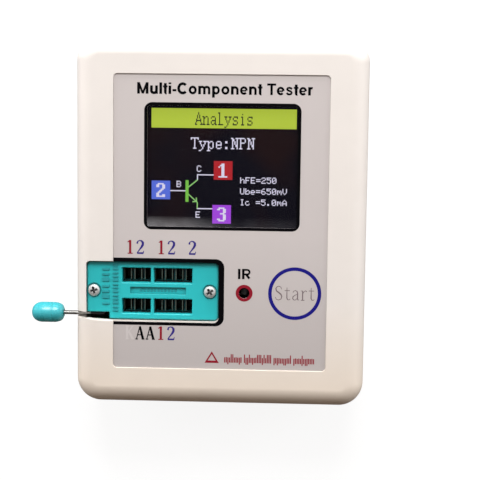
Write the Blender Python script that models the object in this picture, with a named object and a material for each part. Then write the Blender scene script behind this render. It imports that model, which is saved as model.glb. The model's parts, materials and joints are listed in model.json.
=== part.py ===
"""Pocket component tester, lying on its back.

A moulded two-part case carries a printed front film, a colour display, a zero-insertion-force test socket
with a cam lever, an infrared receiver and a start button, all on one board with a battery behind it.

Frame: the origin is the middle of the flat rear face, +X is to the right and +Y towards the display as the
user reads the front, and +Z points out of the front. Lengths are in metres.
"""

import math

import bmesh
import bpy
from mathutils import Matrix, Vector

MM = 0.001
GAP = 0.3 * MM                       # air between neighbouring pieces

# Case
CASE_WIDTH = 71 * MM
CASE_LENGTH = 90 * MM
CASE_DEPTH = 27.5 * MM
CASE_CORNER = 6 * MM                 # radius of the four corners, seen from the front
FRONT_FILLET = 4.6 * MM
REAR_FILLET = 3 * MM
WALL = 2.2 * MM
FLOOR = 2 * MM
FRONT_PLATE = 2.3 * MM
PARTING_Z = 13.5 * MM                # rim of the rear cover on the outside
TONGUE_HEIGHT = 1.2 * MM             # the rear cover's inner rim stands this far inside the front shell
TONGUE_INSET = 1.25 * MM
PLATE_Z = CASE_DEPTH - FRONT_PLATE   # underside of the front plate

# Front film and the round key that is part of it
FILM_WIDTH = 52 * MM
FILM_LENGTH = 71.5 * MM
FILM_CORNER = 0.9 * MM
FILM_THICKNESS = 0.2 * MM
FILM_TOP = CASE_DEPTH - 0.3 * MM
FILM_BED = FILM_TOP - FILM_THICKNESS - GAP
KEY_X = 18.3 * MM
KEY_Y = -16.8 * MM
KEY_RADIUS = 5.7 * MM
IR_X = 6 * MM
IR_Y = -16.9 * MM
IR_RADIUS = 1.3 * MM

# Display
DISPLAY_X = 0.3 * MM
DISPLAY_Y = 13.7 * MM
DISPLAY_OPENING = (38 * MM, 31.3 * MM)
PANEL_SIZE = (46.7 * MM, 34 * MM)
PANEL_THICKNESS = 2.2 * MM
PANEL_TOP = PLATE_Z - GAP

# Board
BOARD_WIDTH = 64.4 * MM
BOARD_LENGTH = 69 * MM
BOARD_THICKNESS = 1.6 * MM
BOARD_TOP = 16.2 * MM
BOARD_BOTTOM = BOARD_TOP - BOARD_THICKNESS
ON_BOARD = BOARD_TOP + GAP           # where pieces on the front side of the board start
UNDER_BOARD = BOARD_BOTTOM - GAP     # where pieces on the back side of the board start

# Test socket
SOCKET_LEFT = -32.7 * MM
SOCKET_RIGHT = -0.3 * MM
SOCKET_BOTTOM = -24.05 * MM
SOCKET_TOP = -9.75 * MM
SOCKET_CORNER = 1 * MM
SOCKET_FACE = 26.2 * MM              # front face of the socket, a little below the film
SOCKET_SPLIT = 22.1 * MM             # front face of its base
SOCKET_X = (SOCKET_LEFT + SOCKET_RIGHT) / 2
SOCKET_Y = (SOCKET_BOTTOM + SOCKET_TOP) / 2
COVER_PLATE = 2 * MM
COVER_SKIRT = 0.8 * MM
NOTCH_RIGHT = -27.1 * MM             # the corner of the socket that is cut away for the lever
NOTCH_TOP = -22.3 * MM
PITCH = 2.54 * MM
CONTACTS_PER_ROW = 7
ROW_OFFSET = 1.5 * PITCH             # each row's distance from the socket's middle line
FIRST_CELL_LEFT = -24 * MM
WINDOW_HEIGHT = 3.6 * MM
WINDOW_GROUPS = (3, 4)               # cells in each window of a row
WINDOW_RIB = 0.75 * MM
SOCKET_SCREWS = (-30.9 * MM, -2.4 * MM)
SLOT_LEFT = -31.9 * MM               # end of the slot that the case leaves open below the lever
SLOT_BOTTOM = -24 * MM

# Lever, cam and slider
WIRE_RADIUS = 0.5 * MM
PIVOT_X = -28.5 * MM
PIVOT_Z = 23.2 * MM
WIRE_Y = -23.1 * MM
SHAFT_END_Y = -11.2 * MM
BEND_RADIUS = 1 * MM
CAM_Y = -16 * MM
CAM_WIDTH = 3 * MM
CAM_RADIUS = 0.9 * MM
SLIDER_TRAVEL = 1 * MM               # the cam disc stands off the shaft's axis by the same amount
KNOB_END = -46.9 * MM
KNOB_START = -38.9 * MM
KNOB_RADIUS = 2.5 * MM
KNOB_NECK = 1.25 * MM
KNOB_BORE = WIRE_RADIUS + GAP
KNOB_BORE_DEPTH = 4.8 * MM
BEARING_LENGTH = 1.2 * MM
BEARING_STARTS = (-20.5 * MM, -12.8 * MM)

# Fasteners
CASE_SCREW_X = 29 * MM
CASE_SCREW_Y = 38.5 * MM
POST_INNER_X = 25.7 * MM
POST_INNER_Y = 35.2 * MM
POST_OUTER_X = 33.9 * MM
POST_OUTER_Y = 43.4 * MM
POST_CORNER = 3.9 * MM
HEAD_SEAT_Z = 3 * MM                 # the case screws' heads bear here, sunk below the rear face
BOARD_SCREW_X = 29.2 * MM
BOARD_SCREW_Y = 31.5 * MM
BOSS_RADIUS = 2.2 * MM

# Charging socket in the right wall
USB_Y = -2 * MM
USB_WIDTH = 7.5 * MM
USB_HEIGHT = 2.6 * MM
USB_BACK_X = 27.6 * MM
USB_FRONT_X = 33.1 * MM

# Battery behind the board
CELL_SIZE = (48 * MM, 36 * MM, 7 * MM)
CELL_Y = 10 * MM
CELL_BOTTOM = 3.3 * MM
PLUG_Y = -26.5 * MM                  # the plug's open end, where the wires go in
PLUG_Z = 11.8 * MM

ROUND_STEPS = 5                      # straight pieces in a rounded corner
TURN_STEPS = 20                      # straight pieces round a turned body
SMOOTH_ANGLE = math.radians(35)
QUARTER = math.pi / 2


# ---------------------------------------------------------------- shapes

def rounded_outline(corners, steps=ROUND_STEPS):
    """An anticlockwise outline through (x, y, radius) corners, each rounded to its own radius."""
    outline = []
    for i, (x, y, radius) in enumerate(corners):
        corner = Vector((x, y))
        if radius == 0:
            outline.append((x, y))
            continue
        back = (Vector(corners[i - 1][:2]) - corner).normalized()
        ahead = (Vector(corners[(i + 1) % len(corners)][:2]) - corner).normalized()
        half = back.angle(ahead) / 2
        centre = corner + (back + ahead).normalized() * radius / math.sin(half)
        spoke = corner + back * radius / math.tan(half) - centre
        across = back.cross(ahead)
        turn = math.copysign(math.pi - 2 * half, -across)
        for step in range(steps + 1):
            angle = turn * step / steps
            outline.append((centre.x + spoke.x * math.cos(angle) - spoke.y * math.sin(angle),
                            centre.y + spoke.x * math.sin(angle) + spoke.y * math.cos(angle)))
    return outline


def rounded_rectangle(width, length, radius, centre=(0, 0), steps=ROUND_STEPS):
    right = centre[0] + width / 2
    left = centre[0] - width / 2
    top = centre[1] + length / 2
    bottom = centre[1] - length / 2
    return rounded_outline([(right, bottom, radius), (right, top, radius),
                            (left, top, radius), (left, bottom, radius)], steps)


def loft(rings):
    """A closed body through rings of equally many points, with a cap on the first and the last."""
    mesh = bmesh.new()
    loops = [[mesh.verts.new(point) for point in ring] for ring in rings]
    for near, far in zip(loops, loops[1:]):
        for i, corner in enumerate(near):
            mesh.faces.new((near[i - 1], corner, far[i], far[i - 1]))
    mesh.faces.new(loops[0])
    mesh.faces.new(loops[-1])
    bmesh.ops.recalc_face_normals(mesh, faces=mesh.faces)
    return mesh


def prism(outline, low, high):
    return loft([[(x, y, z) for x, y in outline] for z in (low, high)])


def box(low, high):
    outline = [(low[0], low[1]), (high[0], low[1]), (high[0], high[1]), (low[0], high[1])]
    return prism(outline, low[2], high[2])


def slab(width, length, corner, low, high, centre, edge_low=0, edge_high=0, edge_steps=2):
    """A rounded rectangle with some thickness, whose lower and upper edges are rounded too."""
    levels = []
    for edge, start, side in ((edge_low, low + edge_low, -1), (edge_high, high - edge_high, 1)):
        count = edge_steps if edge else 0
        turns = [QUARTER * i / count for i in range(count + 1)] if count else [0]
        arc = [(edge * (1 - math.cos(turn)), start + side * edge * math.sin(turn)) for turn in turns]
        levels += arc if side > 0 else reversed(arc)
    rings = []
    for inset, height in levels:
        outline = rounded_rectangle(width - 2 * inset, length - 2 * inset, corner - inset, centre)
        rings.append([(x, y, height) for x, y in outline])
    return loft(rings)


def turned(profile, steps=TURN_STEPS):
    """A body turned about Z from (radius, height) points that start and end on the axis."""
    mesh = bmesh.new()
    line = [mesh.verts.new((radius, 0, height)) for radius, height in profile]
    edges = [mesh.edges.new(pair) for pair in zip(line, line[1:])]
    bmesh.ops.spin(mesh, geom=line + edges, axis=(0, 0, 1), cent=(0, 0, 0), angle=2 * math.pi,
                   steps=steps, use_merge=True)
    bmesh.ops.remove_doubles(mesh, verts=mesh.verts, dist=1e-7)
    bmesh.ops.recalc_face_normals(mesh, faces=mesh.faces)
    return mesh


def cylinder(radius, low, high, x=0.0, y=0.0, steps=TURN_STEPS):
    mesh = turned([(0, low), (radius, low), (radius, high), (0, high)], steps)
    return moved(mesh, x, y)


def sweep(path, section, side):
    """A bar along a line of points. The section's (u, v) points lie along side and across it."""
    points = [Vector(point) for point in path]
    side = Vector(side)
    rings = []
    for i, point in enumerate(points):
        along = (points[min(i + 1, len(points) - 1)] - points[max(i - 1, 0)]).normalized()
        side = (side - along * side.dot(along)).normalized()
        other = along.cross(side)
        rings.append([point + side * u + other * v for u, v in section])
    return loft(rings)


def circle(radius, steps):
    return [(radius * math.cos(2 * math.pi * i / steps), radius * math.sin(2 * math.pi * i / steps))
            for i in range(steps)]


def moved(mesh, x=0.0, y=0.0, z=0.0):
    mesh.transform(Matrix.Translation((x, y, z)))
    return mesh


def turned_over(mesh, angle, axis):
    mesh.transform(Matrix.Rotation(angle, 4, axis))
    return mesh


def together(meshes):
    """One mesh of several separate bodies, for use as a cutter."""
    whole = bmesh.new()
    for mesh in meshes:
        data = bpy.data.meshes.new("body")
        mesh.to_mesh(data)
        mesh.free()
        whole.from_mesh(data)
        bpy.data.meshes.remove(data)
    return whole


# ---------------------------------------------------------------- objects

def finish(name, colour, roughness, metallic=0.0):
    material = bpy.data.materials.new(name)
    material.use_nodes = True
    shader = material.node_tree.nodes["Principled BSDF"]
    shader.inputs["Base Color"].default_value = (*colour, 1)
    shader.inputs["Roughness"].default_value = roughness
    shader.inputs["Metallic"].default_value = metallic
    material.diffuse_color = (*colour, 1)
    return material


def new_object(name, mesh, origin=(0, 0, 0)):
    """An object whose own origin is at the given point, from a mesh that is already in place."""
    data = bpy.data.meshes.new(name)
    mesh.transform(Matrix.Translation(-Vector(origin)))
    mesh.to_mesh(data)
    mesh.free()
    item = bpy.data.objects.new(name, data)
    item.location = origin
    bpy.context.collection.objects.link(item)
    return item


def attach(item, holder):
    """Parent an object without moving it."""
    bpy.context.view_layer.update()
    item.parent = holder
    item.matrix_parent_inverse = holder.matrix_world.inverted()


def piece(name, mesh, material, origin=(0, 0, 0), holder=None):
    """One named sub-part."""
    item = new_object(name, mesh, origin)
    item.data.materials.append(material)
    item.data.shade_smooth()
    item.data.set_sharp_from_angle(angle=SMOOTH_ANGLE)
    if holder:
        attach(item, holder)
    return item


def shape(item, operation, label, mesh):
    """Add a body to a sub-part, or cut one out of it."""
    tool = new_object(f"{item.name}_{label}", mesh)
    attach(tool, item)
    tool.hide_render = True
    tool.display_type = "WIRE"
    step = item.modifiers.new(label, "BOOLEAN")
    step.operation = operation
    step.solver = "EXACT"
    step.object = tool


def axis_empty(name, place):
    empty = bpy.data.objects.new(name, None)
    empty.location = place
    empty.empty_display_size = 5 * MM
    bpy.context.collection.objects.link(empty)
    return empty


# ---------------------------------------------------------------- case

def case_ring(inset, height):
    outline = rounded_rectangle(CASE_WIDTH - 2 * inset, CASE_LENGTH - 2 * inset, CASE_CORNER - inset)
    return [(x, y, height) for x, y in outline]


def fillet_rings(radius, start, side, steps=4):
    """The case's outside as it rounds over from its walls to its front (side 1) or its rear (side -1)."""
    turns = [QUARTER * i / steps for i in range(steps + 1)]
    return [case_ring(radius * (1 - math.cos(turn)), start + side * radius * math.sin(turn))
            for turn in turns]


def corner_signs():
    """The four quarters of the case, by number."""
    return enumerate(((1, 1), (-1, 1), (-1, -1), (1, -1)), start=1)


def post(side_x, side_y, low, high):
    """The post that fills a corner of the case and takes a case screw."""
    corners = [(POST_INNER_X, POST_INNER_Y, 0), (POST_OUTER_X, POST_INNER_Y, 0),
               (POST_OUTER_X, POST_OUTER_Y, POST_CORNER), (POST_INNER_X, POST_OUTER_Y, 0)]
    outline = [(side_x * x, side_y * y) for x, y in rounded_outline(corners)]
    return prism(outline, low, high)


def socket_opening():
    """The cut-out for the socket, with the slot in which the lever lies at its lower left."""
    right = SOCKET_RIGHT + GAP
    left = SOCKET_LEFT - GAP
    top = SOCKET_TOP + GAP
    bottom = SOCKET_BOTTOM - GAP
    slot_top = NOTCH_TOP - GAP
    return rounded_outline([(right, bottom, SOCKET_CORNER + GAP), (right, top, SOCKET_CORNER + GAP),
                            (left, top, SOCKET_CORNER), (left, slot_top, 0.3 * MM),
                            (SLOT_LEFT, slot_top, 0.3 * MM), (SLOT_LEFT, SLOT_BOTTOM, 0.7 * MM),
                            (NOTCH_RIGHT - GAP, bottom, 0)])


def make_front_shell(plastic):
    above = CASE_DEPTH + 1 * MM
    below = PLATE_Z - 3 * MM
    split = PARTING_Z + GAP
    step = split + TONGUE_HEIGHT
    lip = TONGUE_INSET - GAP
    rings = [case_ring(WALL, PLATE_Z), case_ring(WALL, step), case_ring(lip, step), case_ring(lip, split),
             case_ring(0, split)]
    rings += fillet_rings(FRONT_FILLET, CASE_DEPTH - FRONT_FILLET, 1)
    shell = piece("front_shell", loft(rings), plastic)

    buried = PLATE_Z + 0.5 * MM
    shape(shell, "UNION", "posts", together(
        [post(side_x, side_y, step + GAP, buried) for _, (side_x, side_y) in corner_signs()]))
    shape(shell, "UNION", "bosses", together(
        [cylinder(BOSS_RADIUS, ON_BOARD, buried, side_x * BOARD_SCREW_X, side_y * BOARD_SCREW_Y)
         for _, (side_x, side_y) in corner_signs()]))
    shape(shell, "DIFFERENCE", "film_bed", prism(
        rounded_rectangle(FILM_WIDTH + 2 * GAP, FILM_LENGTH + 2 * GAP, FILM_CORNER + GAP),
        FILM_BED, above))
    shape(shell, "DIFFERENCE", "openings", together([
        prism(rounded_rectangle(*DISPLAY_OPENING, 1.5 * MM, (DISPLAY_X, DISPLAY_Y)), below, above),
        prism(socket_opening(), below, above),
        cylinder(IR_RADIUS + GAP, below, above, IR_X, IR_Y),
        cylinder(KEY_RADIUS + 0.4 * MM, below, above, KEY_X, KEY_Y, 32),
        box((USB_FRONT_X - 0.6 * MM, USB_Y - 4.5 * MM, 15.8 * MM), (CASE_WIDTH, USB_Y + 4.5 * MM, 20 * MM)),
    ]))
    groove = WIRE_RADIUS + GAP
    shape(shell, "DIFFERENCE", "lever_groove", box(
        (-CASE_WIDTH, WIRE_Y - groove, PIVOT_Z - groove), (SLOT_LEFT + 1 * MM, WIRE_Y + groove, above)))
    shape(shell, "DIFFERENCE", "screw_holes", together(
        [cylinder(1.3 * MM, PARTING_Z, PLATE_Z - 1 * MM, side_x * CASE_SCREW_X, side_y * CASE_SCREW_Y, 12)
         for _, (side_x, side_y) in corner_signs()]
        + [cylinder(1.1 * MM, BOARD_TOP, PLATE_Z - 2.5 * MM, side_x * BOARD_SCREW_X,
                    side_y * BOARD_SCREW_Y, 12)
           for _, (side_x, side_y) in corner_signs()]))


def make_rear_cover(plastic):
    top = PARTING_Z + TONGUE_HEIGHT
    rings = [case_ring(WALL, FLOOR), case_ring(WALL, top), case_ring(TONGUE_INSET, top),
             case_ring(TONGUE_INSET, PARTING_Z), case_ring(0, PARTING_Z)]
    rings += fillet_rings(REAR_FILLET, REAR_FILLET, -1)
    cover = piece("rear_cover", loft(rings), plastic)
    shape(cover, "UNION", "posts", together(
        [post(side_x, side_y, FLOOR - 0.5 * MM, top - GAP) for _, (side_x, side_y) in corner_signs()]))
    shape(cover, "DIFFERENCE", "head_seats", together(
        [cylinder(2.7 * MM, -1 * MM, HEAD_SEAT_Z, side_x * CASE_SCREW_X, side_y * CASE_SCREW_Y)
         for _, (side_x, side_y) in corner_signs()]))
    shape(cover, "DIFFERENCE", "screw_holes", together(
        [cylinder(1.3 * MM, HEAD_SEAT_Z - 1 * MM, top + 1 * MM, side_x * CASE_SCREW_X,
                  side_y * CASE_SCREW_Y, 12)
         for _, (side_x, side_y) in corner_signs()]))


def make_film(printed):
    film = piece("front_overlay", prism(rounded_rectangle(FILM_WIDTH, FILM_LENGTH, FILM_CORNER),
                                        FILM_TOP - FILM_THICKNESS, FILM_TOP), printed)
    low = FILM_BED
    high = CASE_DEPTH
    right = SOCKET_RIGHT + GAP
    bottom = SOCKET_BOTTOM - GAP
    top = SOCKET_TOP + GAP
    round_end = SOCKET_CORNER + GAP
    opening = rounded_outline([(-FILM_WIDTH, bottom, 0), (right, bottom, round_end),
                               (right, top, round_end), (-FILM_WIDTH, top, 0)])
    shape(film, "DIFFERENCE", "openings", together([
        prism(opening, low, high),
        cylinder(IR_RADIUS, low, high, IR_X, IR_Y),
        cylinder(KEY_RADIUS + GAP, low, high, KEY_X, KEY_Y, 32)]))


# ---------------------------------------------------------------- screws

def screw(name, place, head_radius, head_height, shank_radius, shank_length, up, metal):
    """A pan-head screw with a cross recess. Its head's underside is at place, and up is 1 where the head
    faces +Z and -1 where it faces -Z."""
    rim = head_height * 0.55
    profile = [(0, -shank_length), (shank_radius, -shank_length), (shank_radius, 0), (head_radius, 0),
               (head_radius, rim), (head_radius * 0.82, head_height * 0.88), (0, head_height)]
    body = turned(profile, 16)
    recess = []
    for turn in (QUARTER / 2, -QUARTER / 2):
        arm = box((-head_radius * 0.6, -head_radius * 0.14, rim * 0.5),
                  (head_radius * 0.6, head_radius * 0.14, head_height * 2))
        recess.append(turned_over(arm, turn, "Z"))
    if up < 0:
        for mesh in (body, *recess):
            turned_over(mesh, math.pi, "X")
    for mesh in (body, *recess):
        moved(mesh, *place)
    item = piece(name, body, metal, place)
    for label, mesh in zip(("recess_a", "recess_b"), recess):
        shape(item, "DIFFERENCE", label, mesh)


def make_case_screws(metal):
    for number, (side_x, side_y) in corner_signs():
        place = (side_x * CASE_SCREW_X, side_y * CASE_SCREW_Y, HEAD_SEAT_Z - GAP)
        screw(f"case_screw_{number}", place, 2.3 * MM, 1.8 * MM, 1 * MM, 19 * MM, -1, metal)


def make_board_screws(metal):
    for number, (side_x, side_y) in corner_signs():
        place = (side_x * BOARD_SCREW_X, side_y * BOARD_SCREW_Y, UNDER_BOARD)
        screw(f"board_screw_{number}", place, 1.9 * MM, 1.3 * MM, 0.8 * MM, 7 * MM, -1, metal)


# ---------------------------------------------------------------- display

def make_display(glass, holder, foam, film):
    centre = (DISPLAY_X, DISPLAY_Y)
    width, length = PANEL_SIZE
    bottom = PANEL_TOP - PANEL_THICKNESS
    piece("lcd_panel", prism(rounded_rectangle(width, length, 0.5 * MM, centre, 2), bottom, PANEL_TOP),
          glass)
    frame_wall = 1.4 * MM
    frame = piece("lcd_frame", prism(rounded_rectangle(width - GAP, length - GAP, 1 * MM, centre, 3),
                                     ON_BOARD, bottom - GAP), holder)
    inner = (width - GAP - 2 * frame_wall, length - GAP - 2 * frame_wall)
    shape(frame, "DIFFERENCE", "middle", prism(
        rounded_rectangle(*inner, 0.5 * MM, centre, 2), BOARD_TOP, PANEL_TOP))
    piece("lcd_foam_pad", prism(rounded_rectangle(36 * MM, 24 * MM, 1 * MM, centre, 2),
                                ON_BOARD, bottom - GAP), foam)

    # The ribbon leaves the panel's left edge, bends down past the frame and lies on the board.
    start = DISPLAY_X - width / 2 - GAP
    bend = 1.2 * MM
    upper = PANEL_TOP - PANEL_THICKNESS / 2
    lower = ON_BOARD + 0.1 * MM
    turns = [QUARTER * i / 3 for i in range(4)]
    path = [(start, DISPLAY_Y, upper)]
    path += [(start - bend * math.sin(turn), DISPLAY_Y, upper - bend * (1 - math.cos(turn)))
             for turn in turns[1:]]
    path += [(start - bend - bend * (1 - math.cos(turn)), DISPLAY_Y, lower + bend - bend * math.sin(turn))
             for turn in turns]
    path.append((start - 4.2 * MM, DISPLAY_Y, lower))
    half_width = 7 * MM
    half_thick = 0.1 * MM
    section = [(-half_width, -half_thick), (half_width, -half_thick), (half_width, half_thick),
               (-half_width, half_thick)]
    piece("lcd_flex", sweep(path, section, (0, 1, 0)), film)


# ---------------------------------------------------------------- test socket

def cells():
    """Each cell of the socket as (contact number, x, y), row by row."""
    for row, side in enumerate((1, -1)):
        for column in range(CONTACTS_PER_ROW):
            yield (row * CONTACTS_PER_ROW + column + 1, FIRST_CELL_LEFT + (column + 0.5) * PITCH,
                   SOCKET_Y + side * ROW_OFFSET)


def notch():
    """The corner of the socket that is cut away so that the lever can lie down."""
    return box((SOCKET_LEFT - 1 * MM, SOCKET_BOTTOM - 1 * MM, BOARD_TOP), (NOTCH_RIGHT, NOTCH_TOP, CASE_DEPTH))


def shaft_slot(low_y, high_y, open_down):
    """A round-ended slot for the cam shaft through a wall."""
    radius = WIRE_RADIUS + GAP
    slot_end = PIVOT_Z - 1.5 * MM if open_down else PIVOT_Z + 1.5 * MM
    corners = [(PIVOT_X + radius * side, slot_end) for side in (-1, 1)]
    arc = [(PIVOT_X + radius * math.cos(turn), PIVOT_Z + radius * math.sin(turn))
           for turn in (math.pi * i / 8 for i in range(9))]
    if open_down:
        outline = corners + arc
    else:
        outline = [(x, 2 * PIVOT_Z - z) for x, z in arc] + corners
    rings = [[(x, y, z) for x, z in outline] for y in (low_y, high_y)]
    return loft(rings)


def make_socket_base(plastic):
    base = piece("zif_base", slab(SOCKET_RIGHT - SOCKET_LEFT, SOCKET_TOP - SOCKET_BOTTOM, SOCKET_CORNER,
                                  ON_BOARD, SOCKET_SPLIT, (SOCKET_X, SOCKET_Y)), plastic)
    block_top = SOCKET_FACE - COVER_PLATE - GAP
    blocks = []
    slots = []
    for low_y in BEARING_STARTS:
        high_y = low_y + BEARING_LENGTH
        blocks.append(box((PIVOT_X - 1.5 * MM, low_y, SOCKET_SPLIT - 0.5 * MM),
                          (PIVOT_X + 1.5 * MM, high_y, block_top)))
        slots.append(shaft_slot(low_y - 0.5 * MM, high_y + 0.5 * MM, False))
    shape(base, "UNION", "bearings", together(blocks))
    shape(base, "DIFFERENCE", "shaft_slots", together(slots))
    shape(base, "DIFFERENCE", "notch", notch())
    shape(base, "DIFFERENCE", "cam_pocket", box(
        (PIVOT_X - 1 * MM, CAM_Y - CAM_WIDTH / 2 - GAP, PIVOT_Z - SLIDER_TRAVEL - CAM_RADIUS - GAP),
        (PIVOT_X + 2.3 * MM, CAM_Y + CAM_WIDTH / 2 + GAP, CASE_DEPTH)))
    shape(base, "DIFFERENCE", "contact_pockets", together(
        [box((x - 1.22 * MM, y - 1.6 * MM, ON_BOARD - 1 * MM), (x + 0.99 * MM, y + 1.6 * MM, CASE_DEPTH))
         for _, x, y in cells()]))
    shape(base, "DIFFERENCE", "screw_holes", together(
        [cylinder(1 * MM, ON_BOARD + 1.5 * MM, CASE_DEPTH, x, SOCKET_Y, 12) for x in SOCKET_SCREWS]))


def socket_windows():
    """The four openings in the cover through which component leads go in."""
    windows = []
    for side in (1, -1):
        middle = SOCKET_Y + side * ROW_OFFSET
        left = FIRST_CELL_LEFT
        for count in WINDOW_GROUPS:
            right = left + count * PITCH
            low_x = left if left == FIRST_CELL_LEFT else left + WINDOW_RIB / 4
            windows.append(box((low_x, middle - WINDOW_HEIGHT / 2, SOCKET_SPLIT),
                               (right - WINDOW_RIB * 0.75, middle + WINDOW_HEIGHT / 2, CASE_DEPTH)))
            left = right
    return together(windows)


def make_socket_cover(plastic):
    cover = piece("zif_cover", slab(SOCKET_RIGHT - SOCKET_LEFT, SOCKET_TOP - SOCKET_BOTTOM, SOCKET_CORNER,
                                    SOCKET_SPLIT + GAP, SOCKET_FACE, (SOCKET_X, SOCKET_Y),
                                    edge_high=0.4 * MM), plastic)
    left = SOCKET_LEFT + COVER_SKIRT
    right = SOCKET_RIGHT - COVER_SKIRT
    bottom = SOCKET_BOTTOM + COVER_SKIRT
    top = SOCKET_TOP - COVER_SKIRT
    inside = [(NOTCH_RIGHT + COVER_SKIRT, bottom), (right, bottom), (right, top), (left, top),
              (left, NOTCH_TOP + COVER_SKIRT), (NOTCH_RIGHT + COVER_SKIRT, NOTCH_TOP + COVER_SKIRT)]
    shape(cover, "DIFFERENCE", "inside", prism(inside, SOCKET_SPLIT, SOCKET_FACE - COVER_PLATE))
    shape(cover, "DIFFERENCE", "notch", notch())
    shape(cover, "DIFFERENCE", "shaft_slot", shaft_slot(NOTCH_TOP - 0.5 * MM, NOTCH_TOP + 1.3 * MM, True))
    shape(cover, "DIFFERENCE", "windows", socket_windows())
    shape(cover, "DIFFERENCE", "label_recess", box(
        (-22 * MM, SOCKET_Y - 0.8 * MM, SOCKET_FACE - 0.4 * MM), (-8.3 * MM, SOCKET_Y + 0.9 * MM, CASE_DEPTH)))
    shape(cover, "DIFFERENCE", "head_seats", together(
        [cylinder(1.75 * MM, SOCKET_FACE - GAP, CASE_DEPTH, x, SOCKET_Y) for x in SOCKET_SCREWS]))
    shape(cover, "DIFFERENCE", "screw_holes", together(
        [cylinder(1 * MM, SOCKET_SPLIT, SOCKET_FACE, x, SOCKET_Y, 12) for x in SOCKET_SCREWS]))


def make_socket_screws(metal):
    for side, x in zip(("left", "right"), SOCKET_SCREWS):
        place = (x, SOCKET_Y, SOCKET_FACE)
        screw(f"zif_screw_{side}", place, 1.45 * MM, 0.8 * MM, 0.7 * MM, 7 * MM, 1, metal)


def contact_mesh():
    """A spring contact: two blades on a bridge, with a pin that goes down through the board."""
    top = SOCKET_FACE - COVER_PLATE - GAP
    bridge = ON_BOARD + 0.7 * MM
    left = -1.05 * MM
    right = 0.82 * MM
    blade = 0.2 * MM
    outline = [(left, bridge), (right, bridge), (right, top), (right - blade, top),
               (right - blade, bridge + 0.4 * MM), (left + blade, bridge + 0.4 * MM),
               (left + blade, top), (left, top)]
    half_width = 1.3 * MM
    mesh = loft([[(x, y, z) for x, z in outline] for y in (-half_width, half_width)])
    mesh.faces.ensure_lookup_table()
    underside = min(mesh.faces, key=lambda face: face.calc_center_median().z)
    bmesh.ops.inset_region(mesh, faces=[underside], thickness=0.75 * MM)
    pin = bmesh.ops.extrude_face_region(mesh, geom=[underside])
    pin_points = [part for part in pin["geom"] if isinstance(part, bmesh.types.BMVert)]
    bmesh.ops.translate(mesh, verts=pin_points, vec=(0, 0, BOARD_BOTTOM - 1.2 * MM - bridge))
    bmesh.ops.delete(mesh, geom=[underside], context="FACES")
    bmesh.ops.recalc_face_normals(mesh, faces=mesh.faces)
    return mesh


def make_contacts(metal):
    for number, x, y in cells():
        piece(f"zif_contact_{number}", moved(contact_mesh(), x, y), metal, (x, y, ON_BOARD))


def make_slider(plastic):
    """The plate between base and cover that the cam pushes along the socket."""
    low = SOCKET_SPLIT + GAP
    high = SOCKET_FACE - COVER_PLATE - GAP
    left = -24.9 * MM
    right = -4.2 * MM
    half = 6.1 * MM
    tail_left = PIVOT_X + SLIDER_TRAVEL + CAM_RADIUS + GAP
    tail_half = 2 * MM
    outline = [(left, SOCKET_Y - half), (right, SOCKET_Y - half), (right, SOCKET_Y + half),
               (left, SOCKET_Y + half), (left, CAM_Y + tail_half), (tail_left, CAM_Y + tail_half),
               (tail_left, CAM_Y - tail_half), (left, CAM_Y - tail_half)]
    slider = piece("zif_slider", prism(outline, low, high), plastic, (tail_left, CAM_Y, PIVOT_Z))
    rows = []
    for side in (1, -1):
        middle = SOCKET_Y + side * ROW_OFFSET
        rows.append(box((-24.2 * MM, middle - 1.65 * MM, SOCKET_SPLIT),
                        (-5.2 * MM, middle + 1.65 * MM, CASE_DEPTH)))
    shape(slider, "DIFFERENCE", "rows", together(rows))


def make_lever(steel, plastic):
    """The bent wire with its cam, and the knob on its end, both turning about the shaft."""
    hinge = axis_empty("zif_lever_axis", (PIVOT_X, WIRE_Y, PIVOT_Z))
    turns = [QUARTER * i / 4 for i in range(5)]
    bend_x = PIVOT_X - BEND_RADIUS
    bend_y = WIRE_Y + BEND_RADIUS
    path = [(PIVOT_X, SHAFT_END_Y, PIVOT_Z)]
    path += [(bend_x + BEND_RADIUS * math.cos(turn), bend_y - BEND_RADIUS * math.sin(turn), PIVOT_Z)
             for turn in turns]
    path.append((KNOB_START - KNOB_BORE_DEPTH + 0.35 * MM, WIRE_Y, PIVOT_Z))
    origin = (PIVOT_X, WIRE_Y, PIVOT_Z)
    lever = piece("zif_lever", sweep(path, circle(WIRE_RADIUS, 12), (0, 0, 1)), steel, origin, hinge)
    cam = turned_over(cylinder(CAM_RADIUS, -CAM_WIDTH / 2, CAM_WIDTH / 2, steps=16), QUARTER, "X")
    shape(lever, "UNION", "cam", moved(cam, PIVOT_X + SLIDER_TRAVEL, CAM_Y, PIVOT_Z))
    web = box((PIVOT_X, CAM_Y - CAM_WIDTH / 2 + 0.1 * MM, PIVOT_Z - WIRE_RADIUS * 0.8),
              (PIVOT_X + SLIDER_TRAVEL, CAM_Y + CAM_WIDTH / 2 - 0.1 * MM, PIVOT_Z + WIRE_RADIUS * 0.8))
    shape(lever, "UNION", "cam_web", web)

    length = KNOB_START - KNOB_END
    shoulder = 2.4 * MM
    dome = 2.65 * MM
    steps = 5
    profile = [(0, KNOB_BORE_DEPTH), (KNOB_BORE, KNOB_BORE_DEPTH), (KNOB_BORE, 0)]
    for i in range(steps + 1):
        turn = QUARTER * i / steps
        profile.append((KNOB_NECK + (KNOB_RADIUS - KNOB_NECK) * math.sin(turn),
                        shoulder * (1 - math.cos(turn))))
    for i in range(steps):
        turn = QUARTER * i / steps
        profile.append((KNOB_RADIUS * math.cos(turn), length - dome + dome * math.sin(turn)))
    profile.append((0, length))
    knob = turned_over(turned(profile), -QUARTER, "Y")
    piece("zif_knob", moved(knob, KNOB_START, WIRE_Y, PIVOT_Z), plastic, origin, hinge)


# ---------------------------------------------------------------- start button and receiver

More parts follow.
